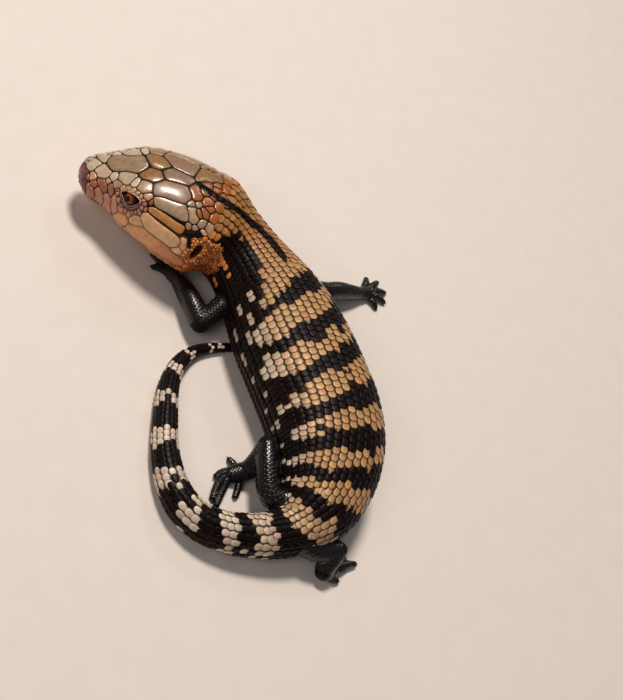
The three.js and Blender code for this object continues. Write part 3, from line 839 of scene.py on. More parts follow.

# The skin between the scales is painted as a far darker copy of their tone, as shade in the gaps.
# Pairs say where a tone begins and where it is full.
skinPaint = {
    "shade": 0.14,
    "throatFrom": (21, 23.5),
    "throatDegrees": (52, 60),
    "throatShade": 0.8,
    "headEnd": (24, 28),
    "cheekDegrees": (60, 82),
    "cheekShade": 0.5,
    "bellyDegrees": (118, 140),
    "bellyShade": 0.5,
    "legs": (0.5, 0.9),
    "earRim": (0.8, 1.1),
    "earMarks": ([(21.8, 60), (24.1, 53)], [(22.6, 62), (23.4, 71)]),
    "earMarkHalf": (0.4, 0.6),
    "lidShade": 0.3,
    "lidReach": (0.9, 1.3),
    "innerCorner": (0.9, 1.7),
    "opening": (0.0, 0.15),
    "eyeStreak": ((-1.9, 1.1), (-4.2, 2.2)),
    "eyeStreakHalf": (0.25, 0.5),
    "nostrilShade": 0.4,
    "nostrilHalf": (0.4, 0.7),
    "lipShade": 0.25,
    "lipHalf": (0.25, 0.55),
}
pale = paleAt(atDistance, atDegrees)
# Painted shade: the skin is a darker copy of the coat, and lower down of the cheek, throat and belly;
# round the crown it takes the dark seam tone.
colours = coatColour(atDistance, atDegrees, pale) * skinPaint["shade"]
wide = np.abs(atDegrees)
inThroat = atDistance < table(throatEdge, wide)
throat = smooth(*skinPaint["throatFrom"], atDistance) * smooth(*skinPaint["throatDegrees"], wide)
throat = throat * inThroat
cheekShare = smooth(*skinPaint["cheekDegrees"], wide)
headSeam = blend(tone["seam"], tone["cheek"] * skinPaint["cheekShade"], cheekShare)
colours = blend(colours, headSeam, 1 - smooth(*skinPaint["headEnd"], atDistance))
colours = blend(colours, tone["throat"] * skinPaint["throatShade"], throat)
bellyShare = smooth(*skinPaint["bellyDegrees"], wide)
colours = blend(colours, tone["belly"] * skinPaint["bellyShade"], bellyShare)
neck = np.where(atDistance < 48)[0]
colours[neck] = blend(colours[neck], tone["black"], stripeShare(vertices[neck]))
colours = blend(colours, tone["legBlack"], smooth(*skinPaint["legs"], reach))
# Painted shade deep in each ear opening.
for place in earPlaces:
    x, y, z = inPlace(place, vertices)
    away = np.sqrt((x / face["earSize"][0]) ** 2 + (y / face["earSize"][1]) ** 2)
    colours = blend(colours, tone["hollowShade"], (1 - smooth(*skinPaint["earRim"], away)) * (np.abs(z) < 3))
# A black mark runs from behind the temple down in front of the ear.
for side in (1, -1):
    for mark in skinPaint["earMarks"]:
        ends = [skinPoint(d, math.radians(side * a), -skin["inset"]) for d, a in mark]
        marked = 1 - smooth(*skinPaint["earMarkHalf"], awayFromLine(vertices, ends))
        colours = blend(colours, tone["black"], marked)
for place in eyePlaces:
    x, y, z = inPlace(place, vertices)
    facing = (z > 0) * (np.abs(z) < 4)
    slit = slitAt(x, y)
    # Painted shade in the folds round the lids: a dark copy of the lid's brown.
    onLid = (1 - smooth(*skinPaint["lidReach"], slit)) * facing
    colours = blend(colours, tone["lidBrown"] * skinPaint["lidShade"], onLid)
    # Painted shade: the skin inside the opening round the ball is black, dark red towards the front
    # corner.
    inside = blend(tone["black"], tone["lidInner"], smooth(*skinPaint["innerCorner"], x))
    colours = blend(colours, inside, (1 - smooth(*skinPaint["opening"], slit)) * facing)
    streak = [
        place["centre"] + place["along"] * a + place["across"] * b + place["normal"] * 1.6
        for a, b in skinPaint["eyeStreak"]
    ]
    streaked = 1 - smooth(*skinPaint["eyeStreakHalf"], awayFromLine(vertices, streak))
    colours = blend(colours, tone["black"], streaked * (z > 0))
# Painted shade in each nostril.
for place in nostrilPlaces:
    away = np.linalg.norm(vertices - place["centre"], axis=1)
    sunk = 1 - smooth(*skinPaint["nostrilHalf"], away)
    colours = blend(colours, tone["hollowShade"] * skinPaint["nostrilShade"], sunk)
# Painted shade in the crease along the mouth.
lipped = (1 - smooth(*skinPaint["lipHalf"], awayFromLine(vertices, mouthCourse))) * (atDistance < 22)
colours = blend(colours, tone["rostral"] * skinPaint["lipShade"], lipped)
paintPiece(skinPiece.data, colours)
flesh = [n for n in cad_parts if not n.startswith("eye_")]
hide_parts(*flesh)
print("skin painted")

# Places round the body by share of its girth, so that neighbouring scales keep one width.
girthStations = np.arange(0.2, body["end"], 0.5)
girthAngles = np.linspace(-np.pi, np.pi, 361)
girthRings = skinPoint(girthStations[:, None], girthAngles[None, :])
girthRun = np.cumsum(np.linalg.norm(np.diff(girthRings, axis=1), axis=2), axis=1)
girthRun = np.concatenate([np.zeros((len(girthStations), 1)), girthRun], 1)
evenShares = np.linspace(0, 1, 361)
angleTable = np.array([np.interp(evenShares, run / run[-1], girthAngles) for run in girthRun])


def girthAt(distance):
    return np.interp(distance, girthStations, girthRun[:, -1])


def angleAt(distance, share):
    row = np.clip((distance - girthStations[0]) / 0.5, 0, len(girthStations) - 1.001)
    column = (share % 1.0) * 360
    r, c = row.astype(int), np.minimum(column.astype(int), 359)
    u, v = row - r, column - c
    top = angleTable[r, c] * (1 - v) + angleTable[r, c + 1] * v
    bottom = angleTable[r + 1, c] * (1 - v) + angleTable[r + 1, c + 1] * v
    return top * (1 - u) + bottom * u + 2 * np.pi * np.floor(share)


# Where each scale lies in the unfolded skin: start and span along and round, and a scale's own size.
unfolded = {"along": (0.02, 0.96), "around": (0.02, 0.55), "scale": 0.0015}


def unfold(distance, share):
    (startU, spanU), (startV, spanV) = unfolded["along"], unfolded["around"]
    return np.stack([startU + spanU * distance / body["end"], startV + spanV * share], -1)


# One scale: a rounded plate. Its root is tucked under the scale in front, and its rear edge stands
# free.
scaleForm = {
    "rings": (0.0, 0.55, 0.81, 1.0, 0.95),
    "drop": (0.0, 0.0, 0.012, 0.06, 0.16),
    # Shade of each ring: the rim rings are painted far darker, as shade in the gaps between scales.
    "shade": (1.0, 1.04, 1.0, 0.2, 0.08),
    "rear": 0.62,
    "front": 1.05,
    "width": 0.94,
    "tilt": 0.1,
    "dome": 0.08,
    "lift": -0.1,
    "overlap": 1.06,
    # Painted shadow under the scale in front and painted light on the free edge: where one gives way to
    # the other, then the darkest share and how much it rises.
    "covered": (-0.5, 0.75),
    "coveredShade": (0.8, 0.34),
}


def scaleTemplate(around):
    turn = np.linspace(0, 2 * np.pi, around, endpoint=False)
    ox = np.sign(np.sin(turn)) * np.abs(np.sin(turn)) ** 0.85
    oy = np.sign(np.cos(turn)) * np.abs(np.cos(turn)) ** 0.9
    ox = np.where(oy < 0, ox * (1 + 0.38 * oy), ox)
    x, y, drop, shade = [0.0], [0.0], [0.0], [scaleForm["shade"][0]]
    for ring, low, tint in list(zip(scaleForm["rings"], scaleForm["drop"], scaleForm["shade"]))[1:]:
        x += list(ring * ox)
        y += list(ring * oy)
        drop += [low] * around
        shade += [tint] * around
    # The part under the scale in front is painted darker, as its shadow, and the free edge lighter, as
    # painted light.
    rootShadow, more = scaleForm["coveredShade"]
    shade = np.array(shade) * (rootShadow + more * smooth(*scaleForm["covered"], np.array(y)))
    faces = [(0, 1 + k, 1 + (k + 1) % around) for k in range(around)]
    for r in range(3):
        for k in range(around):
            a, b = 1 + r * around + k, 1 + r * around + (k + 1) % around
            faces.append((a, a + around, b + around, b))
    faces.append(tuple(1 + 3 * around + k for k in range(around)))
    return np.array(x), np.array(y), np.array(drop), shade, faces


# Rows of scales along the body: from, to, scales round the girth, length that each one shows.
coatLengths = {
    "scales_neck": [(25.6, 44.0, 34, 1.3)],
    "scales_trunk": [(44.0, 91.0, 38, 1.38)],
    "scales_tail_root": [
        (91.0, 97.0, 28, 1.36), (97.0, 104.0, 22, 1.32), (104.0, 114.0, 16, 1.3),
        (114.0, 124.0, 14, 1.25),
    ],
    "scales_tail": [(124.0, 147.0, 12, 1.15), (147.0, 158.0, 10, 0.95), (158.0, 171.4, 8, 0.8)],
}
flankSpecks = [
    (46.0, 50), (47.6, 45), (46.5, 55), (47.2, 71), (51.1, 62), (54.0, 73), (51.7, 88), (57.3, 90),
    (61.6, 92), (66.9, 80), (76.3, 82), (82.1, 80), (70.5, 88), (55.2, 71), (161.0, -40), (163.0, 20),
]


# The rows begin behind the head shields and, lower down, behind the fine scales of the throat.
def coatStart(degrees):
    wide = np.abs(degrees)
    return np.where(wide < 50, 26.2, np.where(wide < 112, table(throatEdge, wide), 28.2))


# How much one scale differs from the next, and how the edges of the bands break up.
scaleChance = {
    "along": 0.05,
    "around": 0.02,
    "width": 0.03,
    "length": 0.04,
    "twist": 0.04,
    "height": 0.012,
    "tone": (0.09, 0.03),
    "bandEdge": (0.22, 1.5),
    "lost": (0.02, 0.14, 0.1),
    "flankFlecks": 0.02,
    "tailFlecks": 0.015,
    "neckFlecks": 0.22,
    "paleTips": 0.45,
    "flecksReach": (1.05, 0.5),
    "fleckTone": (0.82, 0.76, 0.7),
    "sides": (55, 80),
    "middle": -8,
    "trunk": (40, 100),
    "behindBand": 0.8,
    "behindReach": 75,
    # Bands are narrower by chance on the tail: by how much, and where that begins and is full.
    "narrower": 0.75,
    "narrowerFrom": (100, 125),
    "tailFrom": 112,
    "flank": (50, 75),
    "flankEnd": 108,
    "neckEnd": 38.6,
}


def bodyScales(name, lengths, seed):
    draw = np.random.default_rng(seed)
    tx, ty, drop, shade, faces = scaleTemplate(12)
    roots = []
    for start, end, count, shown in lengths:
        for row, d in enumerate(np.arange(start, end, shown / 2)):
            for column in range(row % 2, count, 2):
                roots.append((d, (column + 0.5) / count, girthAt(d) / count, shown))
    roots = np.array(roots)
    begin = coatStart((np.degrees(angleAt(roots[:, 0], roots[:, 1])) + 180) % 360 - 180)
    d0, share0, pitch, shown = roots[roots[:, 0] > begin].T
    total = len(d0)
    d0 = d0 + draw.normal(0, scaleChance["along"], total)
    share0 = share0 + draw.normal(0, scaleChance["around"], total) / (girthAt(d0) / pitch)
    wide = pitch * scaleForm["width"] * (1 + draw.normal(0, scaleChance["width"], total)) / 2
    wide = wide * scaleForm["overlap"]
    grown = 1 + draw.normal(0, scaleChance["length"], total)
    x = tx[None] * wide[:, None]
    y = np.where(ty > 0, ty * scaleForm["rear"], ty * scaleForm["front"])[None]
    y = y * (shown * grown)[:, None]
    twist = draw.normal(0, scaleChance["twist"], total)[:, None]
    x, y = x * np.cos(twist) - y * np.sin(twist), x * np.sin(twist) + y * np.cos(twist)
    size = (np.minimum(pitch, shown) / 1.4)[:, None]
    height = scaleForm["lift"] + scaleForm["tilt"] * y
    height = height - scaleForm["dome"] * size * (x / wide[:, None]) ** 2 - drop[None] * size
    height = height + draw.normal(0, scaleChance["height"], total)[:, None]
    distance = np.clip(d0[:, None] + y, 0.3, body["end"] - 0.05)
    share = share0[:, None] + x / girthAt(d0)[:, None]
    points = skinPoint(distance, angleAt(distance, share), height)
    points = clearOfTail(points, distance)
    # Each scale is all pale or all dark, with a ragged edge to each band.
    degrees = (np.degrees(angleAt(d0, share0)) + 180) % 360 - 180
    steep = np.abs(degrees)
    fromBack = np.abs(degrees - scaleChance["middle"])
    radius = curveAt(body["size"], d0)[:, 1]
    narrow = scaleChance["narrower"] * smooth(*scaleChance["narrowerFrom"], d0)
    narrow = narrow * np.sign(draw.random(total) - 0.5)
    strayAlong, strayAround = scaleChance["bandEdge"]
    pale = paleAt(d0 + draw.normal(0, strayAlong, total), degrees + draw.normal(0, strayAround, total))
    pale = np.minimum(pale, paleAt(d0 + narrow, degrees))
    lostBack, lostSide, lostTail = scaleChance["lost"]
    lostTrunk = lostBack + lostSide * smooth(*scaleChance["sides"], fromBack)
    lostShare = np.where(d0 > scaleChance["tailFrom"], lostTail, lostTrunk)
    pale = np.where(draw.random(total) < lostShare, 0, pale)
    onSide = smooth(*scaleChance["flank"], steep) * (d0 > 42) * (steep < scaleChance["flankEnd"])
    specked = draw.random(total) < scaleChance["flankFlecks"] * onSide
    reachTrunk, reachTail = scaleChance["flecksReach"]
    for speckAt, speckDegrees in flankSpecks:
        for side in (1, -1):
            away = np.hypot(d0 - speckAt, np.radians(degrees - side * speckDegrees) * radius)
            specked |= away < (reachTrunk if speckAt < 100 else reachTail)
    specked |= (d0 > 110) & (draw.random(total) < scaleChance["tailFlecks"])
    pale = np.where(specked, 1, pale)
    mottled = (d0 < scaleChance["neckEnd"]) & (steep > scaleChance["flank"][0])
    mottled &= steep < scaleChance["flankEnd"]
    pale = np.where(mottled & (draw.random(total) < scaleChance["neckFlecks"]), 1, pale)
    tint = coatColour(d0, degrees, pale)
    trunkStart, trunkEnd = scaleChance["trunk"]
    onTrunk = specked & (d0 > trunkStart) & (d0 < trunkEnd)
    tint = np.where(onTrunk[:, None], tone["cream"] * np.array(scaleChance["fleckTone"]), tint)
    deeper, warmer = scaleChance["tone"]
    tint = tint * (1 + draw.normal(0, deeper, (total, 1))) * (1 + draw.normal(0, warmer, (total, 3)))
    # Every scale carries the template's painted shade and light, a dark scale half of it.
    shading = 1 + (shade[None] - 1) * np.where(pale > 0.5, 1.0, 0.5)[:, None]
    paint = np.clip(tint[:, None] * shading[..., None], 0.001, 1)
    # A dark scale just behind a band often carries a pale point.
    behind = (pale < 0.5) & (d0 < trunkEnd) & (fromBack < scaleChance["behindReach"])
    behind &= paleAt(d0 - scaleChance["behindBand"], degrees) > 0.5
    behind &= draw.random(total) < scaleChance["paleTips"]
    centre = (np.abs(tx) < 0.6 * np.clip(0.75 - ty, 0, 1)) & (ty > -0.8) & (drop < 0.05)
    warm = coatColour(d0, degrees, np.ones(total))
    paint = np.where(behind[:, None, None] & centre[None, :, None], warm[:, None], paint)
    # A fleck on the flank is narrower than its scale.
    rim = onTrunk & (steep > 55)
    outer = np.abs(tx) > 0.6
    paint = np.where(rim[:, None, None] & outer[None, :, None], tone["blackBrown"], paint)
    neck = np.where(d0 < 48)[0]
    if len(neck):
        dark = stripeShare(points[neck].reshape(-1, 3)).reshape(len(neck), -1)
        paint[neck] = blend(paint[neck], tone["black"] * shading[neck][..., None], dark)
    keep = points[..., 2].max(axis=1) > 0.05
    points, paint = points[keep], paint[keep]
    points[..., 2] = np.maximum(points[..., 2], 0.0)
    uv = unfold(d0, share0)[keep][:, None] + np.stack([tx, ty], -1)[None] * unfolded["scale"]
    allFaces = []
    for i in range(len(points)):
        allFaces += [tuple(v + i * len(tx) for v in face) for face in faces]
    slot = "tail_skin" if "tail" in name else "trunk_skin"
    flatPoints, flatPaint = points.reshape(-1, 3), paint.reshape(-1, 3)
    newPiece(name, flatPoints, allFaces, scaleMaterial, flatPaint, uv.reshape(-1, 2), slot)
    return len(points)


counts = [bodyScales(name, lengths, 11 + i) for i, (name, lengths) in enumerate(coatLengths.items())]
print("body scales:", sum(counts))

# Head shields: places along each one as distance and degrees, its weight against its neighbours, its
# tone and half the width of the seam round it.
shields = {
    "middle": [
        ([(0.02, 0), (0.3, 80), (0.3, -80)], 0.42, "rostral", 0.1),
        ([(1.9, -12), (2.9, -14)], 0.35, "snout", 0.14),
        ([(6.4, -6), (9.7, -1)], 0.85, "frontal", 0.28),
        ([(15.4, 3), (18.2, 2)], -0.05, "kite", 0.28),
        ([(20.8, -13), (22.9, -20)], 0.7, "bronze", 0.16),
    ],
    "paired": [
        ([(4.0, 13), (4.3, 22)], 0.3, "snout", 0.15),
        ([(1.15, 30)], -0.1, "nasal", 0.1),
        ([(1.9, 29)], 0.0, "pinkTan", 0.1),
        ([(2.2, 46)], 0.05, "red", 0.1),
        ([(3.9, 39), (4.9, 55)], 0.0, "red", 0.12),
        ([(6.1, 49), (6.5, 60)], -0.1, "red", 0.12),
        ([(5.3, 36)], -0.3, "pinkTan", 0.1),
        ([(7.4, 40)], 0.0, "pinkTan", 0.1),
        ([(6.3, 27)], -0.25, "brow", 0.11),
        ([(8.5, 24), (9.1, 25)], 0.2, "olive", 0.15),
        ([(10.3, 29)], -0.1, "brow", 0.13),
        ([(12.2, 31)], 0.35, "paleTemple", 0.13),
        ([(12.3, 11), (13.4, 9)], 0.2, "bronze", 0.28),
        ([(15.3, 23), (18.4, 17)], 0.75, "parietal", 0.16),
        ([(20.2, 8), (20.8, 12)], 0.15, "orange", 0.2),
        ([(13.1, 42)], -0.1, "pinkTan", 0.12),
        ([(14.3, 48)], -0.35, "orange", 0.12),
        ([(12.7, 68)], -0.2, "lip", 0.12),
        ([(13.9, 60)], -0.3, "lip", 0.12),
        ([(1.4, 54), (2.2, 74)], -0.1, "red", 0.1),
        ([(3.4, 63), (4.4, 86)], 0.0, "lip", 0.1),
        ([(5.7, 71), (6.2, 90)], 0.0, "lip", 0.1),
        ([(7.4, 66), (7.8, 84)], -0.05, "lip", 0.1),
        ([(9.3, 79)], -0.1, "lip", 0.09),
        ([(10.1, 93)], 0.15, "cheek", 0.08),
        ([(11.2, 79)], -0.15, "lip", 0.09),
        ([(12.9, 84)], 0.1, "cheekPale", 0.07),
        ([(14.0, 99), (17.5, 100), (21.0, 98), (23.2, 95)], 0.8, "cheek", 0.05),
        ([(26.0, 95), (27.2, 96)], 0.35, "cheek", 0.05),
        ([(29.4, 99)], 0.3, "throat", 0.05),
        ([(25.2, 110), (27.0, 110)], 0.4, "cheek", 0.05),
        ([(15.8, 41), (19.6, 40)], 0.45, "paleTemple", 0.09),
        ([(15.0, 56), (20.4, 59)], 0.12, "strip", 0.2),
        ([(14.6, 68), (15.9, 72), (17.9, 73.5), (19.6, 73), (20.9, 76)], 0.12, "cheekPale", 0.12),
        ([(22.0, 69), (22.3, 76)], -0.15, "cheekPale", 0.1),
        ([(20.9, 32), (21.8, 37)], 0.05, "paleTemple", 0.12),
        ([(20.4, 24)], -0.3, "paleTemple", 0.1),
        ([(21.5, 20)], -0.35, "paleTemple", 0.1),
        ([(21.5, 51)], -0.45, "paleTemple", 0.12),
        ([(22.6, 48)], -0.4, "paleTemple", 0.12),
        ([(23.4, 39)], -0.05, "paleTemple", 0.12),
        ([(25.1, 39)], 0.0, "paleTemple", 0.12),
        ([(24.4, 47)], -0.25, "pinkTan", 0.12),
        ([(22.9, 13)], 0.2, "orange", 0.15),
        ([(23.1, 26)], 0.1, "orange", 0.15),
        ([(25.1, 25)], 0.1, "orange", 0.14),
        ([(25.2, 11)], 0.15, "orange", 0.14),
    ],
    "farSide": {"nasal": "snout", "red": "snout", "pinkTan": "snout"},
    # Lower lip and chin, mostly out of sight.
    "chinRows": [
        (127, 2.1, 1.8, 22.0, 0.25, "lip"), (145, 2.6, 2.6, 20.0, 0.4, "cheekPale"),
        (164, 2.8, 3.6, 22.0, 0.5, "cheekPale"),
    ],
    # Ear, nostril and the dark lines behind the eye stay bare.
    "bare": [
        ([(25.7, 62), (25.6, 68), (25.4, 74), (25.2, 81)], 0.2),
        ([(0.55, 38)], -0.15),
        ([(21.8, 60), (24.0, 53)], -0.14),
        ([(22.7, 62), (23.5, 71)], -0.2),
        ([(14.6, 50), (17.5, 49), (20.2, 50.5)], -0.6),
        ([(15.0, 62), (20.8, 66)], -0.62),
        ([(12.5, 53), (14.5, 50)], -0.75),
    ],
    # Small scales: round each lid, on the skin round the ear, and wherever else the shields leave room.
    "lidRing": {"count": 15, "bare": 0.3, "above": 1.08, "below": 1.15, "weight": -0.3, "seam": 0.08},
    "throat": {"pitch": 0.84, "from": 23.6, "below": (54, 114), "weight": -0.3, "seam": 0.035},
    "edge": {
        "pitch": 0.8, "behind": 0.35, "deep": 2.2, "deepBelow": 6, "below": (104, 132), "weight": -0.2,
    },
    "fill": {"pitch": 1.7, "from": 21.5, "below": 112, "reach": (1.4, 28.4)},
    "rowGap": 0.87,
    "room": {"throat": 0.72, "fill": 0.62},
    "lipGap": 0.2,
    # How a shield's outline is sought from its middle: rays, step, reach, and how reach grows.
    "smallSearch": (20, 0.14, 1.6, 0.0),
    "largeSearch": (64, 0.16, 3.2, 0.62),
    # Rings of a shield from its buried rim up: how far in, how high, how much darker, as painted shade
    # in the seam.
    "edges": (
        (-0.03, -0.14, 0.78), (0.0, 0.03, 0.6), (0.05, 0.12, 0.25), (0.13, 0.175, 0.03),
        (0.3, 0.205, -0.02),
    ),
    "inner": (0.66, 0.33),
    "swell": (0.005, 0.09),
    "fullSeam": 0.14,
    "leastSeam": 0.45,
    "spacing": 0.24,
    "corners": (12, 72),
    "leastGirth": 1.1,
    "strayTone": (0.06, 0.025),
    # Where the cheek deepens towards the throat, and where the stripe may cross a shield: past this
    # distance, and past or within these degrees.
    "cheekPast": (13, 88),
    "cheekDeepens": (15, 25),
    "stripeWithin": (18.5, 40),
}
headDistances = np.concatenate([[0.02, 0.08, 0.16], np.arange(0.25, 39, 0.14)])
headAngles = np.linspace(0, 2 * np.pi, 400, endpoint=False)
headBase = skinPoint(headDistances[:, None], headAngles[None, :], -skin["inset"])
headNormals = gridNormals(headBase)
detailed = faceDetail(headBase.reshape(-1, 3), headNormals.reshape(-1, 3), skin["inset"])
headBase = detailed.reshape(headBase.shape)
headNormals = gridNormals(headBase).reshape(-1, 3)
headFaces = ringFaces(len(headDistances), len(headAngles))
headTree = BVHTree.FromPolygons(headBase.reshape(-1, 3).tolist(), headFaces)


def ontoHead(point):
    place, normal, index, _ = headTree.find_nearest(Vector(point))
    return np.array(place), headNormals[min(index, len(headNormals) - 1)]


def crownTurn(distance, degrees):
    return degrees + float(table(midline, distance)) * max(0, 1 - abs(degrees) / 60)


def siteAt(places, side):
    spots = []
    for (d, a), (e, b) in zip(places, places[1:] or places):
        count = max(2, int(abs(e - d) / 0.4) + int(abs(b - a) / 12) + 1)
        for t in np.linspace(0, 1, count):
            where = d + (e - d) * t
            degrees = side * (a + (b - a) * t)
            degrees = crownTurn(where, degrees) if side else a + (b - a) * t
            spots.append(skinPoint(where, math.radians(degrees), -skin["inset"]))
    return spots


sites = []


def addSite(spots, weight, colour=None, seam=0.0, at=None):
    sites.append({"spots": spots, "weight": weight, "tone": colour, "seam": seam, "at": at})


for places, weight, colour, seam in shields["middle"]:
    addSite(siteAt(places, 0), weight, colour, seam, places[0])
for places, weight, colour, seam in shields["paired"]:
    for side in (1, -1):
        at = (places[0][0], side * places[0][1])
        # The large shield behind the crown on the right takes the place of small ones.
        if side < 0 and 20 < at[0] < 23.5 and at[1] > -30:
            continue
        if side < 0 and at[0] < 9 and at[1] > -60:
            colour = shields["farSide"].get(colour, colour)
        addSite(siteAt(places, side), weight, colour, seam, at)
for degrees, pitch, start, end, weight, colour in shields["chinRows"]:
    for d in np.arange(start, end, pitch):
        for side in (1, -1):
            spots = [skinPoint(d, math.radians(side * (degrees + 0.15 * d)), -skin["inset"])]
            addSite(spots, weight, colour, 0.14, (d, side * degrees))
for places, weight in shields["bare"]:
    for side in (1, -1):
        addSite(siteAt(places, side), weight)
ring = shields["lidRing"]
for place in eyePlaces:
    at = (face["eye"][0], place["side"] * face["eye"][1])
    for x, y in closedCurve(face["slit"], 40, ring["bare"]):
        point = place["centre"] + place["along"] * x + place["across"] * y + place["normal"] * 1.75
        addSite([point], ring["weight"])
    for x, y in closedCurve(face["slit"], 360, 0)[:: 360 // ring["count"]]:
        out = unit(np.array([x - 0.15, (y - 0.4) * 1.5]))
        out = out * (ring["above"] if y > 0.9 else ring["below"])
        point = place["centre"] + place["along"] * (x + out[0]) + place["across"] * (y + out[1])
        point, _ = ontoHead(point + place["normal"] * 1.7)
        above = "pinkTan" if place["side"] > 0 else "snout"
        addSite([point], ring["weight"], above if y > 0.9 else "lip", ring["seam"], at)


def siteTables():
    spots = np.array([s for site in sites for s in site["spots"]])
    owner = np.array([i for i, site in enumerate(sites) for _ in site["spots"]])
    weight = np.array([site["weight"] for site in sites])
    return spots, owner, weight[owner]


# Places just behind the shields' rear edge keep them off the rows of scales.
edge = shields["edge"]
for d in np.arange(26.0, 39.0, edge["pitch"]):
    step = math.degrees(edge["pitch"] / float(curveAt(body["size"], d)[1]))
    for a in np.arange(-180, 180, step):
        past = d - float(coatStart(a))
        low = edge["below"][0] < abs(a) < edge["below"][1]
        if edge["behind"] < past < (edge["deepBelow"] if low else edge["deep"]):
            addSite([skinPoint(d, math.radians(a), -skin["inset"])], edge["weight"])
# Fine scales cover the throat and the skin round the ear, and small ones whatever else is left.
spots, owner, weight = siteTables()
draw = np.random.default_rng(5)
fine = shields["throat"]
for row, d in enumerate(np.arange(fine["from"], 35.2, fine["pitch"] * shields["rowGap"])):
    radius = float(curveAt(body["size"], d)[1])
    step = math.degrees(fine["pitch"] / radius)
    for side in (1, -1):
        for a in np.arange(fine["below"][0] + (row % 2) * step / 2, fine["below"][1], step):
            at, degrees = d + draw.normal(0, 0.1), a + draw.normal(0, 0.12) * step
            if at > float(table(throatEdge, degrees)) + 0.1:
                continue
            point = skinPoint(at, math.radians(side * degrees), -skin["inset"])
            free = np.min(np.linalg.norm(spots - point, axis=1) - weight)
            if free > fine["pitch"] * shields["room"]["throat"]:
                colour = "throat" if draw.random() < 0.75 else "orange"
                addSite([point], fine["weight"], colour, fine["seam"], (at, side * degrees))
spots, owner, weight = siteTables()
fill = shields["fill"]
for row, d in enumerate(np.arange(*fill["reach"], fill["pitch"] * shields["rowGap"])):
    count = max(8, int(girthAt(d) / fill["pitch"]))
    for k in range(count):
        share = (k + 0.5 * (row % 2)) / count + draw.normal(0, 0.06) / count
        angle = float(angleAt(np.array([d]), np.array([share % 1.0]))[0])
        degrees = (math.degrees(angle) + 180) % 360 - 180
        inFill = d > fill["from"] or abs(degrees) > fill["below"]
        if not inFill or d > float(coatStart(degrees)) + 0.1:
            continue
        point = skinPoint(d + draw.normal(0, 0.08), angle, -skin["inset"])
        free = np.min(np.linalg.norm(spots - point, axis=1) - weight)
        if free > fill["pitch"] * shields["room"]["fill"]:
            addSite([point], 0.0, "orange" if abs(degrees) < 50 else "cheekPale", 0.12, (d, degrees))
spots, owner, weight = siteTables()
print("head sites:", len(sites))


# Shields stop short of the mouth, so that the lips part along skin painted dark there as shade in the
# crease.
mouthRun = np.linspace(0.5, face["mouthCorner"] - 1, 500)
lipTree = KDTree(4 * len(mouthRun))
for side in (1, -1):
    turn = side * np.radians(curveAt(face["mouth"], mouthRun)[:, 0])
    line = skinPoint(mouthRun, turn, -skin["inset"])
    for point in np.concatenate([line, faceDetail(line, skinNormal(mouthRun, turn), skin["inset"])]):
        lipTree.insert(point, 0)
lipTree.balance()


def shieldOutline(number):
    site = sites[number]
    middle = np.mean(site["spots"], axis=0)
    nearMouth = lipTree.find(middle)[2] < 6
    centre, normal = ontoHead(middle)
    small = site["weight"] < -0.25 and len(site["spots"]) < 2
    rays, step, reach, grows = shields["smallSearch" if small else "largeSearch"]
    reach += grows * float(np.linalg.norm(site["spots"][-1] - site["spots"][0]))
    near = np.linalg.norm(spots - centre, axis=1) < 2 * reach + 1.5
    nearSpots, nearOwner, nearWeight = spots[near], owner[near], weight[near]
    first = unit(np.cross(normal, [0.3, 0.2, 0.9]))
    second = np.cross(normal, first)
    runs = np.arange(step, reach, step)
    outline = []
    for turn in np.linspace(0, 2 * np.pi, rays, endpoint=False):
        way = first * math.cos(turn) + second * math.sin(turn)
        path = np.array([ontoHead(centre + way * run)[0] for run in runs])
        away = np.linalg.norm(path[:, None] - nearSpots[None], axis=2) - nearWeight[None]
        mine = np.min(np.where(nearOwner == number, away, 1e9), axis=1)
        other = np.min(np.where(nearOwner == number, 1e9, away), axis=1)
        margin = other - mine - site["seam"]
        if nearMouth:
            margin = np.minimum(margin, [lipTree.find(p)[2] - shields["lipGap"] for p in path])
        out = np.where(margin < 0)[0]
        if len(out) == 0:
            run = runs[-1]
        elif out[0] == 0:
            run = step * 0.5
        else:
            a, b = margin[out[0] - 1], margin[out[0]]
            run = runs[out[0] - 1] + step * a / max(a - b, 1e-6)
        outline.append(ontoHead(centre + way * run)[0])
    return centre, normal, np.array(outline)


def evenLoop(loop, spacing, least, most):
    closed = np.concatenate([loop, loop[:1]])
    run = np.concatenate([[0], np.cumsum(np.linalg.norm(np.diff(closed, axis=0), axis=1))])
    count = int(np.clip(run[-1] / spacing, least, most))
    at = np.linspace(0, run[-1], count, endpoint=False)
    even = np.stack([np.interp(at, run, closed[:, k]) for k in range(3)], -1)
    even = 0.2 * np.roll(even, 1, axis=0) + 0.6 * even + 0.2 * np.roll(even, -1, axis=0)
    return even, run[-1]


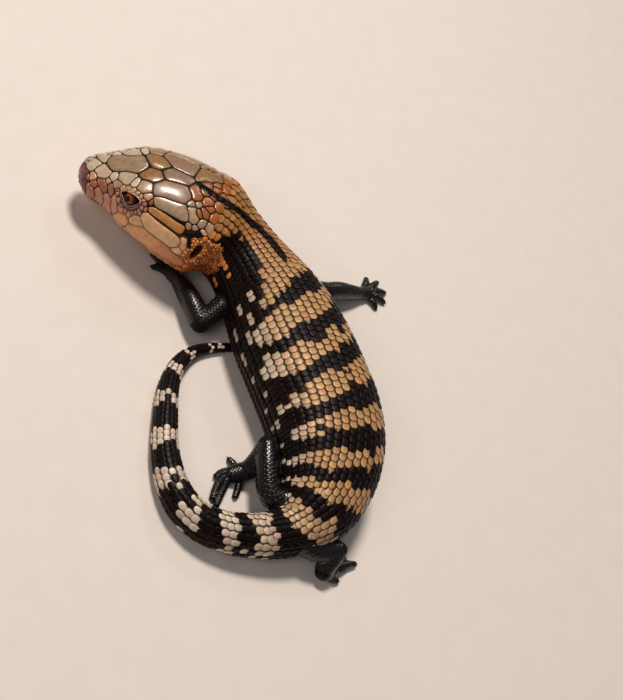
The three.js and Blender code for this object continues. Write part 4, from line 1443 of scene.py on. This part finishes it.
shieldPoints, shieldFaces, shieldPaint, shieldUv = [], [], [], []
for number, site in enumerate(sites):
    if site["tone"] is None:
        continue
    centre, normal, outline = shieldOutline(number)
    loop, around = evenLoop(outline, shields["spacing"], *shields["corners"])
    if around < shields["leastGirth"]:
        continue
    count = len(loop)
    base = len(shieldPoints)
    allAlike, each = shields["strayTone"]
    tint = tone[site["tone"]] * (1 + draw.normal(0, allAlike)) * (1 + draw.normal(0, each, 3))
    swell = min(shields["swell"][0] * around, shields["swell"][1])
    # Painted shade: the rim rings are darker, the more so the wider the seam, and the inner rings and
    # the middle a little paler.
    deep = min(max(site["seam"] / shields["fullSeam"], shields["leastSeam"]), 1.0)
    for inset, height, darker in shields["edges"]:
        for point in loop:
            away = centre - point
            length = max(float(np.linalg.norm(away)), 1e-6)
            place, up = ontoHead(point + away / length * min(inset, 0.45 * length))
            shieldPoints.append(place + up * height)
        shieldPaint += [tint * (1 - deep * darker)] * count
    rim = np.array(shieldPoints[-count:])
    for share in shields["inner"]:
        for point in rim:
            place, up = ontoHead(centre + (point - centre) * share)
            shieldPoints.append(place + up * (shields["edges"][-1][1] + swell * (1 - share**2)))
        shieldPaint += [tint * 1.05] * count
    place, up = ontoHead(centre)
    shieldPoints.append(place + up * (shields["edges"][-1][1] + swell))
    shieldPaint.append(tint * 1.06)
    past, within = shields["cheekPast"], shields["stripeWithin"]
    if site["at"][0] > past[0] and abs(site["at"][1]) > past[1]:
        run = [bodyDistances[finder.find(p)[1]] for p in shieldPoints[base:]]
        own = np.array(shieldPaint[base:])
        deeper = own * tone["cheekDeep"] / tone["cheek"]
        share = smooth(*shields["cheekDeepens"], np.array(run))
        shieldPaint[base:] = list(blend(own, deeper, share))
    if site["at"][0] > within[0] and abs(site["at"][1]) < within[1]:
        own = slice(base, len(shieldPoints))
        dark = stripeShare(np.array(shieldPoints[own]))
        shieldPaint[own] = list(blend(np.array(shieldPaint[own]), tone["black"], dark))
    rings = len(shields["edges"]) + len(shields["inner"])
    for r in range(rings - 1):
        for k in range(count):
            a, b = base + r * count + k, base + r * count + (k + 1) % count
            shieldFaces.append((a, b, b + count, a + count))
    last = base + (rings - 1) * count
    shieldFaces += [(last + k, last + (k + 1) % count, base + rings * count) for k in range(count)]
    shieldFaces.append(tuple(base + k for k in range(count))[::-1])
    d, degrees = site["at"]
    root = unfold(d, degrees / 360 + 0.5)
    flat = (np.array(shieldPoints[base:]) - centre) / max(around / 3, 1e-6)
    first = unit(np.cross(normal, [0.3, 0.2, 0.9]))
    across = np.stack([flat @ first, flat @ np.cross(normal, first)], -1)
    shieldUv.append(root + unfolded["scale"] * across)
newPiece(
    "head_shields", np.array(shieldPoints), shieldFaces, shieldMaterial, np.clip(shieldPaint, 0, 1),
    np.concatenate(shieldUv), "head_skin",
)
print("head shields:", len(shieldFaces), "faces")

# Small scales on the legs lie on the skin itself and point towards the toes.
legCoat = {
    # Scale width, length that shows and flatness on each part.
    "parts": {"upper": (1.0, 0.86, 1.0), "lower": (0.9, 0.78, 1.0), "sole": (0.78, 0.66, 0.8)},
    "digit": (0.66, 0.54),
    "around": 10,
    "height": (-0.03, 0.19),
    "reach": 0.42,
    "lowest": 0.15,
    "overlap": 1.1,
    "rear": 0.64,
    "dome": 0.07,
    "drop": 0.75,
    # How much of the template's painted shade and light each leg scale takes.
    "shading": 0.6,
    # How much one scale differs from the next.
    "strayAround": 0.05,
    "strayLength": 0.04,
    "strayTone": 0.12,
}
skinTree = BVHTree.FromObject(skinPiece, bpy.context.evaluated_depsgraph_get())
skinNormals = np.zeros(len(skinPiece.data.vertices) * 3, np.float32)
skinPiece.data.vertices.foreach_get("normal", skinNormals)
skinNormals = skinNormals.reshape(-1, 3).astype(float)
faceCorner = np.array([p.vertices[0] for p in skinPiece.data.polygons])


def ontoSkin(point):
    place, _, index, away = skinTree.find_nearest(Vector(point * millimetre))
    return np.array(place) / millimetre, skinNormals[faceCorner[index]], away / millimetre


def legScales(name, limb, number):
    draw = np.random.default_rng(40 + number)
    tx, ty, drop, shade, faces = scaleTemplate(legCoat["around"])
    points, paint, uv, allFaces = [], [], [], []
    jobs = [(limb[key], pitch, shown, flat) for key, (pitch, shown, flat) in legCoat["parts"].items()]
    jobs += [(digitPoints(digit), *legCoat["digit"], 1.0) for digit in limb["digits"]]
    for job, (tube, pitch, shown, flatness) in enumerate(jobs):
        last = len(tube) - 1
        fine = np.linspace(0, last, 60)
        centres, _, _, _, radii = tubeFrame(tube, fine)
        run = np.concatenate([[0], np.cumsum(np.linalg.norm(np.diff(centres, axis=0), axis=1))])
        for row, at in enumerate(np.arange(0.1, run[-1] + 0.2, shown / 2)):
            radius = float(np.interp(at, run, radii))
            count = max(4, 2 * round(math.pi * radius / pitch))
            for column in range(row % 2, count, 2):
                angle = 2 * math.pi * (column + 0.5 + draw.normal(0, legCoat["strayAround"])) / count
                t = np.interp(at, run, fine)
                middle = tubePoint(tube, t, angle, 0, flatness)
                if ontoSkin(middle)[2] > legCoat["reach"] or middle[2] < legCoat["lowest"]:
                    continue
                wide = math.pi * radius / count * 2 * legCoat["overlap"]
                x = tx * wide / radius
                y = np.where(ty > 0, ty * legCoat["rear"], ty) * shown
                y = y * (1 + draw.normal(0, legCoat["strayLength"]))
                ts = np.interp(at + y, run, fine)
                spots = tubePoint(tube, ts, angle + x, 0, flatness)
                low, high = legCoat["height"]
                size = min(pitch, 1.0)
                heights = low + (high - low) * (ty + 1) / 2 - legCoat["dome"] * tx**2
                heights = heights - drop * legCoat["drop"] * size
                base = len(points)
                for spot, height in zip(spots, heights):
                    place, up, _ = ontoSkin(spot)
                    points.append(place + up * height)
                # Each scale takes one draw of its own before its tone.
                draw.random()
                tint = tone["legBlack"] * (1 + draw.normal(0, legCoat["strayTone"]))
                paint.append(tint[None] * (1 + (shade[:, None] - 1) * legCoat["shading"]))
                u = 0.04 + 0.24 * number + 0.02 * job + 0.003 * at / 2
                v = 0.62 + 0.3 * (angle / 6.2832 % 1)
                uv.append(np.array([u, v]) + unfolded["scale"] * np.stack([tx, ty], -1))
                allFaces += [tuple(v + base for v in face) for face in faces]
    points = np.array(points)
    points[:, 2] = np.maximum(points[:, 2], 0)
    newPiece(
        "scales_" + name, points, allFaces, legMaterial, np.clip(np.concatenate(paint), 0.001, 1),
        np.concatenate(uv), "limb_skin",
    )
    return len(uv)


print("leg scales:", sum(legScales(name, limb, i) for i, (name, limb) in enumerate(limbs.items())))

# Claws: short curved horn at the end of every digit.
claw = {
    "length": 0.95, "radius": 0.2, "tip": 0.015, "sink": 0.1, "arch": 0.12, "around": 10, "rings": 9,
    "slim": 0.72, "droop": 0.25, "taper": 0.75,
}
for name, limb in limbs.items():
    clawPoints, clawFaces, clawPaint = [], [], []
    for digit in limb["digits"]:
        tube = digitPoints(digit)
        centre, forward, side, up, _ = tubeFrame(tube, 2.0)
        forward = unit(forward * np.array([1, 1, claw["droop"]]))
        base = len(clawPoints)
        turn = np.linspace(0, 2 * np.pi, claw["around"], endpoint=False)
        for r in range(claw["rings"]):
            s = r / (claw["rings"] - 1)
            rise = np.array([0, 0, claw["arch"] * math.sin(3.1 * s) - claw["arch"] * s * s])
            middle = centre + forward * (claw["length"] * s - claw["sink"]) + rise
            wide = claw["radius"] * (1 - s) ** claw["taper"] + claw["tip"]
            for a in turn:
                edge = side * wide * claw["slim"] * math.sin(a) + up * wide * math.cos(a)
                clawPoints.append(middle + edge)
                clawPaint.append(blend(tone["claw"], tone["clawTip"], s))
        clawFaces += ringFaces(claw["rings"], claw["around"], base)
    clawPoints = np.array(clawPoints)
    clawPoints[:, 2] = np.maximum(clawPoints[:, 2], 0)
    newPiece("claws_" + name, clawPoints, clawFaces, clawMaterial, clawPaint, None, "limb_skin")
print("claws made")

# Eyes: a ball with a bulging cornea, an amber iris streaked out from a round pupil, and a dark edge.
eye = {
    "pupil": 0.56, "iris": 1.42, "dark": 1.15, "turn": 16.0, "rise": 8.0, "segments": 96, "rings": 72,
    "cornea": 0.12, "corneaReach": (0.5, 1.35), "streaks": (23, 41), "streakDepth": 0.18,
}
for place in eyePlaces:
    side = "left" if place["side"] > 0 else "right"
    radius = face["eyeRadius"] * millimetre
    around, rings = eye["segments"], eye["rings"]
    bpy.ops.mesh.primitive_uv_sphere_add(segments=around, ring_count=rings, radius=radius)
    ball = bpy.context.active_object
    ball.name = "eyeball_" + side
    turned = math.radians(eye["turn"])
    gaze = place["normal"] * math.cos(turned) + place["along"] * math.sin(turned)
    gaze = unit(gaze + place["across"] * math.sin(math.radians(eye["rise"])))
    first = unit(np.cross(gaze, place["across"]))
    second = np.cross(gaze, first)
    local = meshPoints(ball.data)
    away = np.hypot(local[:, 0], local[:, 1])
    ahead = local[:, 2] > 0
    bulge = np.where(ahead, eye["cornea"] * (1 - smooth(*eye["corneaReach"], away)), 0)
    bearing = np.arctan2(local[:, 1], local[:, 0])
    coarse, fine = eye["streaks"]
    streak = np.sin(bearing * coarse) * 0.5 + np.sin(bearing * fine + 1) * 0.5
    iris = blend(tone["irisInner"], tone["irisOuter"], smooth(eye["pupil"] + 0.2, eye["dark"], away))
    iris = iris * (1 + eye["streakDepth"] * streak[:, None])
    paint = blend(iris, tone["black"] * 0.4, smooth(eye["iris"] - 0.12, eye["iris"] + 0.05, away))
    inPupil = 1 - smooth(eye["pupil"] - 0.05, eye["pupil"] + 0.04, away)
    paint = blend(paint, tone["irisOuter"] * 0.12, inPupil)
    paint = np.where(ahead[:, None], paint, tone["black"])
    local = local * (1 + bulge / face["eyeRadius"])[:, None]
    world = place["centre"] + local[:, :1] * first + local[:, 1:2] * second + local[:, 2:] * gaze
    ball.data.vertices.foreach_set("co", (world * millimetre).astype(np.float32).ravel())
    ball.data.polygons.foreach_set("use_smooth", [True] * len(ball.data.polygons))
    paintPiece(ball.data, np.clip(paint, 0, 1))
    ball.data.materials.append(eyeMaterial)
    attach(ball, "root")
    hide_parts("eye_" + side)

# Lids: a pale rolled edge above, a thin rim below painted pale as a wet sheen, and a soft fold round
# that.
# The underside of each roll is painted dark, as its shade.
lid = {
    "section": 10,
    "steps": 48,
    "outline": 144,
    "rise": 0.09,
    "feel": (0.1, 0.3, 0.5),
    "spread": 5,
    "taper": 0.4,
    "flatness": 0.8,
    # Where the roll's painted shade underneath gives way to its own tone.
    "undersideShade": (-0.5, 0.4),
    # From and to along the opening, how far out of it, thickness, tone. 0 is the front corner and 0.5
    # the rear one.
    "rolls": [
        (-0.03, 0.49, 0.12, 0.21, "lidPale"), (0.5, 1.0, 0.0, 0.12, "lidWet"),
        (0.44, 1.02, 0.42, 0.19, "lidDark"),
    ],
}


def skinHeight(place, point):
    above = Vector((point + place["normal"] * 6) * millimetre)
    hit = skinTree.ray_cast(above, Vector(-place["normal"]))[0]
    return (np.array(hit) / millimetre - place["centre"]) @ place["normal"] if hit else 1.5


for place in eyePlaces:
    side = "left" if place["side"] > 0 else "right"
    lidPoints, lidPaint, lidFaces = [], [], []
    for start, end, out, thick, colour in lid["rolls"]:
        around, steps = lid["outline"], lid["steps"]
        curve = closedCurve(face["slit"], around, out)
        base = len(lidPoints)
        rows = np.round(np.linspace(start, end, steps) * around).astype(int)
        ahead = unit(curve[(rows + 2) % around] - curve[(rows - 2) % around])
        outwards = np.outer(ahead[:, 1], place["along"]) - np.outer(ahead[:, 0], place["across"])
        middles = place["centre"] + curve[rows % around] @ np.array([place["along"], place["across"]])
        # Each roll follows the skin just outside it, without the skin's small steps.
        heights = [
            max(skinHeight(place, middle + outward * reach) for reach in lid["feel"])
            for middle, outward in zip(middles, outwards)
        ]
        window = 2 * lid["spread"] + 1
        padded = np.pad(heights, lid["spread"], mode="edge")
        heights = np.convolve(padded, np.ones(window) / window, mode="valid")
        for step, (middle, outward, height) in enumerate(zip(middles, outwards, heights + lid["rise"])):
            middle = middle + place["normal"] * height
            wide = thick * math.sin(math.pi * (step + 0.5) / steps) ** lid["taper"]
            flat = wide * lid["flatness"]
            for k in range(lid["section"]):
                b = 2 * math.pi * k / lid["section"]
                bulge = outward * wide * math.cos(b) + place["normal"] * flat * math.sin(b)
                lidPoints.append(middle + bulge)
                # Painted shade on the side of the roll that faces the skin.
                share = smooth(*lid["undersideShade"], math.sin(b))
                lidPaint.append(blend(tone["lidUnderShade"], tone[colour], share))
        lidFaces += ringFaces(steps, lid["section"], base)
    piece = newPiece(
        "eyelids_" + side, np.array(lidPoints), lidFaces, shieldMaterial, lidPaint, None, "head_skin"
    )
    pick(piece)
    bpy.ops.object.mode_set(mode="EDIT")
    bpy.ops.mesh.select_all(action="SELECT")
    bpy.ops.mesh.normals_make_consistent(inside=False)
    bpy.ops.object.mode_set(mode="OBJECT")
print("eyes and lids made")

# The floor, soft studio light and the camera at the photograph's angle.
stageSet = {
    "floor": 1.2,
    "floorColour": "#dcd3cc",
    "floorGrain": "#e3dbd5",
    "sky": (0.95, 0.97, 1.0, 1),
    "skyStrength": 0.11,
    "target": (15.0, 10.1, 0.0),
    "away": 330.0,
    "lens": 84.857,
    "right": (0.85355339, -0.14644661, 0.5),
    "up": (-0.14644661, 0.85355339, 0.5),
    "back": (-0.5, -0.5, 0.70710678),
}
bpy.ops.mesh.primitive_plane_add(size=stageSet["floor"], location=(0, 0, 0))
floor = bpy.context.active_object
floor.name = "floor"
floorMaterial = newMaterial("matt studio floor")
floorGrain = addNode(floorMaterial, "ShaderNodeTexNoise", {}, {"Scale": 220.0, "Detail": 4.0})
floorTint = addNode(floorMaterial, "ShaderNodeMixRGB", {}, {
    "Fac": floorGrain.outputs["Fac"],
    "Color1": (*linear(stageSet["floorColour"]), 1),
    "Color2": (*linear(stageSet["floorGrain"]), 1),
})
finishMaterial(floorMaterial, addNode(floorMaterial, "ShaderNodeBsdfPrincipled", {}, {
    "Base Color": floorTint.outputs["Color"], "Roughness": 0.85,
}))
floor.data.materials.append(floorMaterial)


def addLight(name, size, power, place, colour="#ffffff"):
    data = bpy.data.lights.new(name, "AREA")
    data.shape = "DISK"
    data.size = size
    data.energy = power
    data.color = linear(colour)
    light = bpy.data.objects.new(name, data)
    bpy.context.collection.objects.link(light)
    light.location = place
    light.rotation_euler = (-Vector(place)).to_track_quat("-Z", "Y").to_euler()
    return light


# Key light: its mirror image falls on the rear of the head, where the photograph's glare lies.
addLight("key", 0.14, 3.1, (-0.091, 0.226, 0.548), "#fff4e8")
fillLight = addLight("fill", 0.35, 1.2, (-0.5, -0.28, 0.5), "#fff6f0")
fillLight.visible_glossy = False
addLight("rim", 0.16, 0.42, (0.286, 0.457, 0.521))
world = bpy.data.worlds.new("studio") if not bpy.context.scene.world else bpy.context.scene.world
bpy.context.scene.world = world
world.use_nodes = True
sky = world.node_tree.nodes["Background"].inputs
sky["Color"].default_value = stageSet["sky"]
sky["Strength"].default_value = stageSet["skyStrength"]

bpy.context.scene.view_settings.view_transform = "Standard"
cameraData = bpy.data.cameras.new("camera")
cameraData.lens = stageSet["lens"]
cameraData.sensor_width = 36
cameraData.clip_start = 0.01
camera = bpy.data.objects.new("camera", cameraData)
bpy.context.collection.objects.link(camera)
axes = Matrix((stageSet["right"], stageSet["up"], stageSet["back"])).transposed()
camera.matrix_world = Matrix.Translation(
    (Vector(stageSet["target"]) + Vector(stageSet["back"]) * stageSet["away"]) * millimetre
) @ axes.to_4x4()
bpy.context.scene.camera = camera
print("stage set")
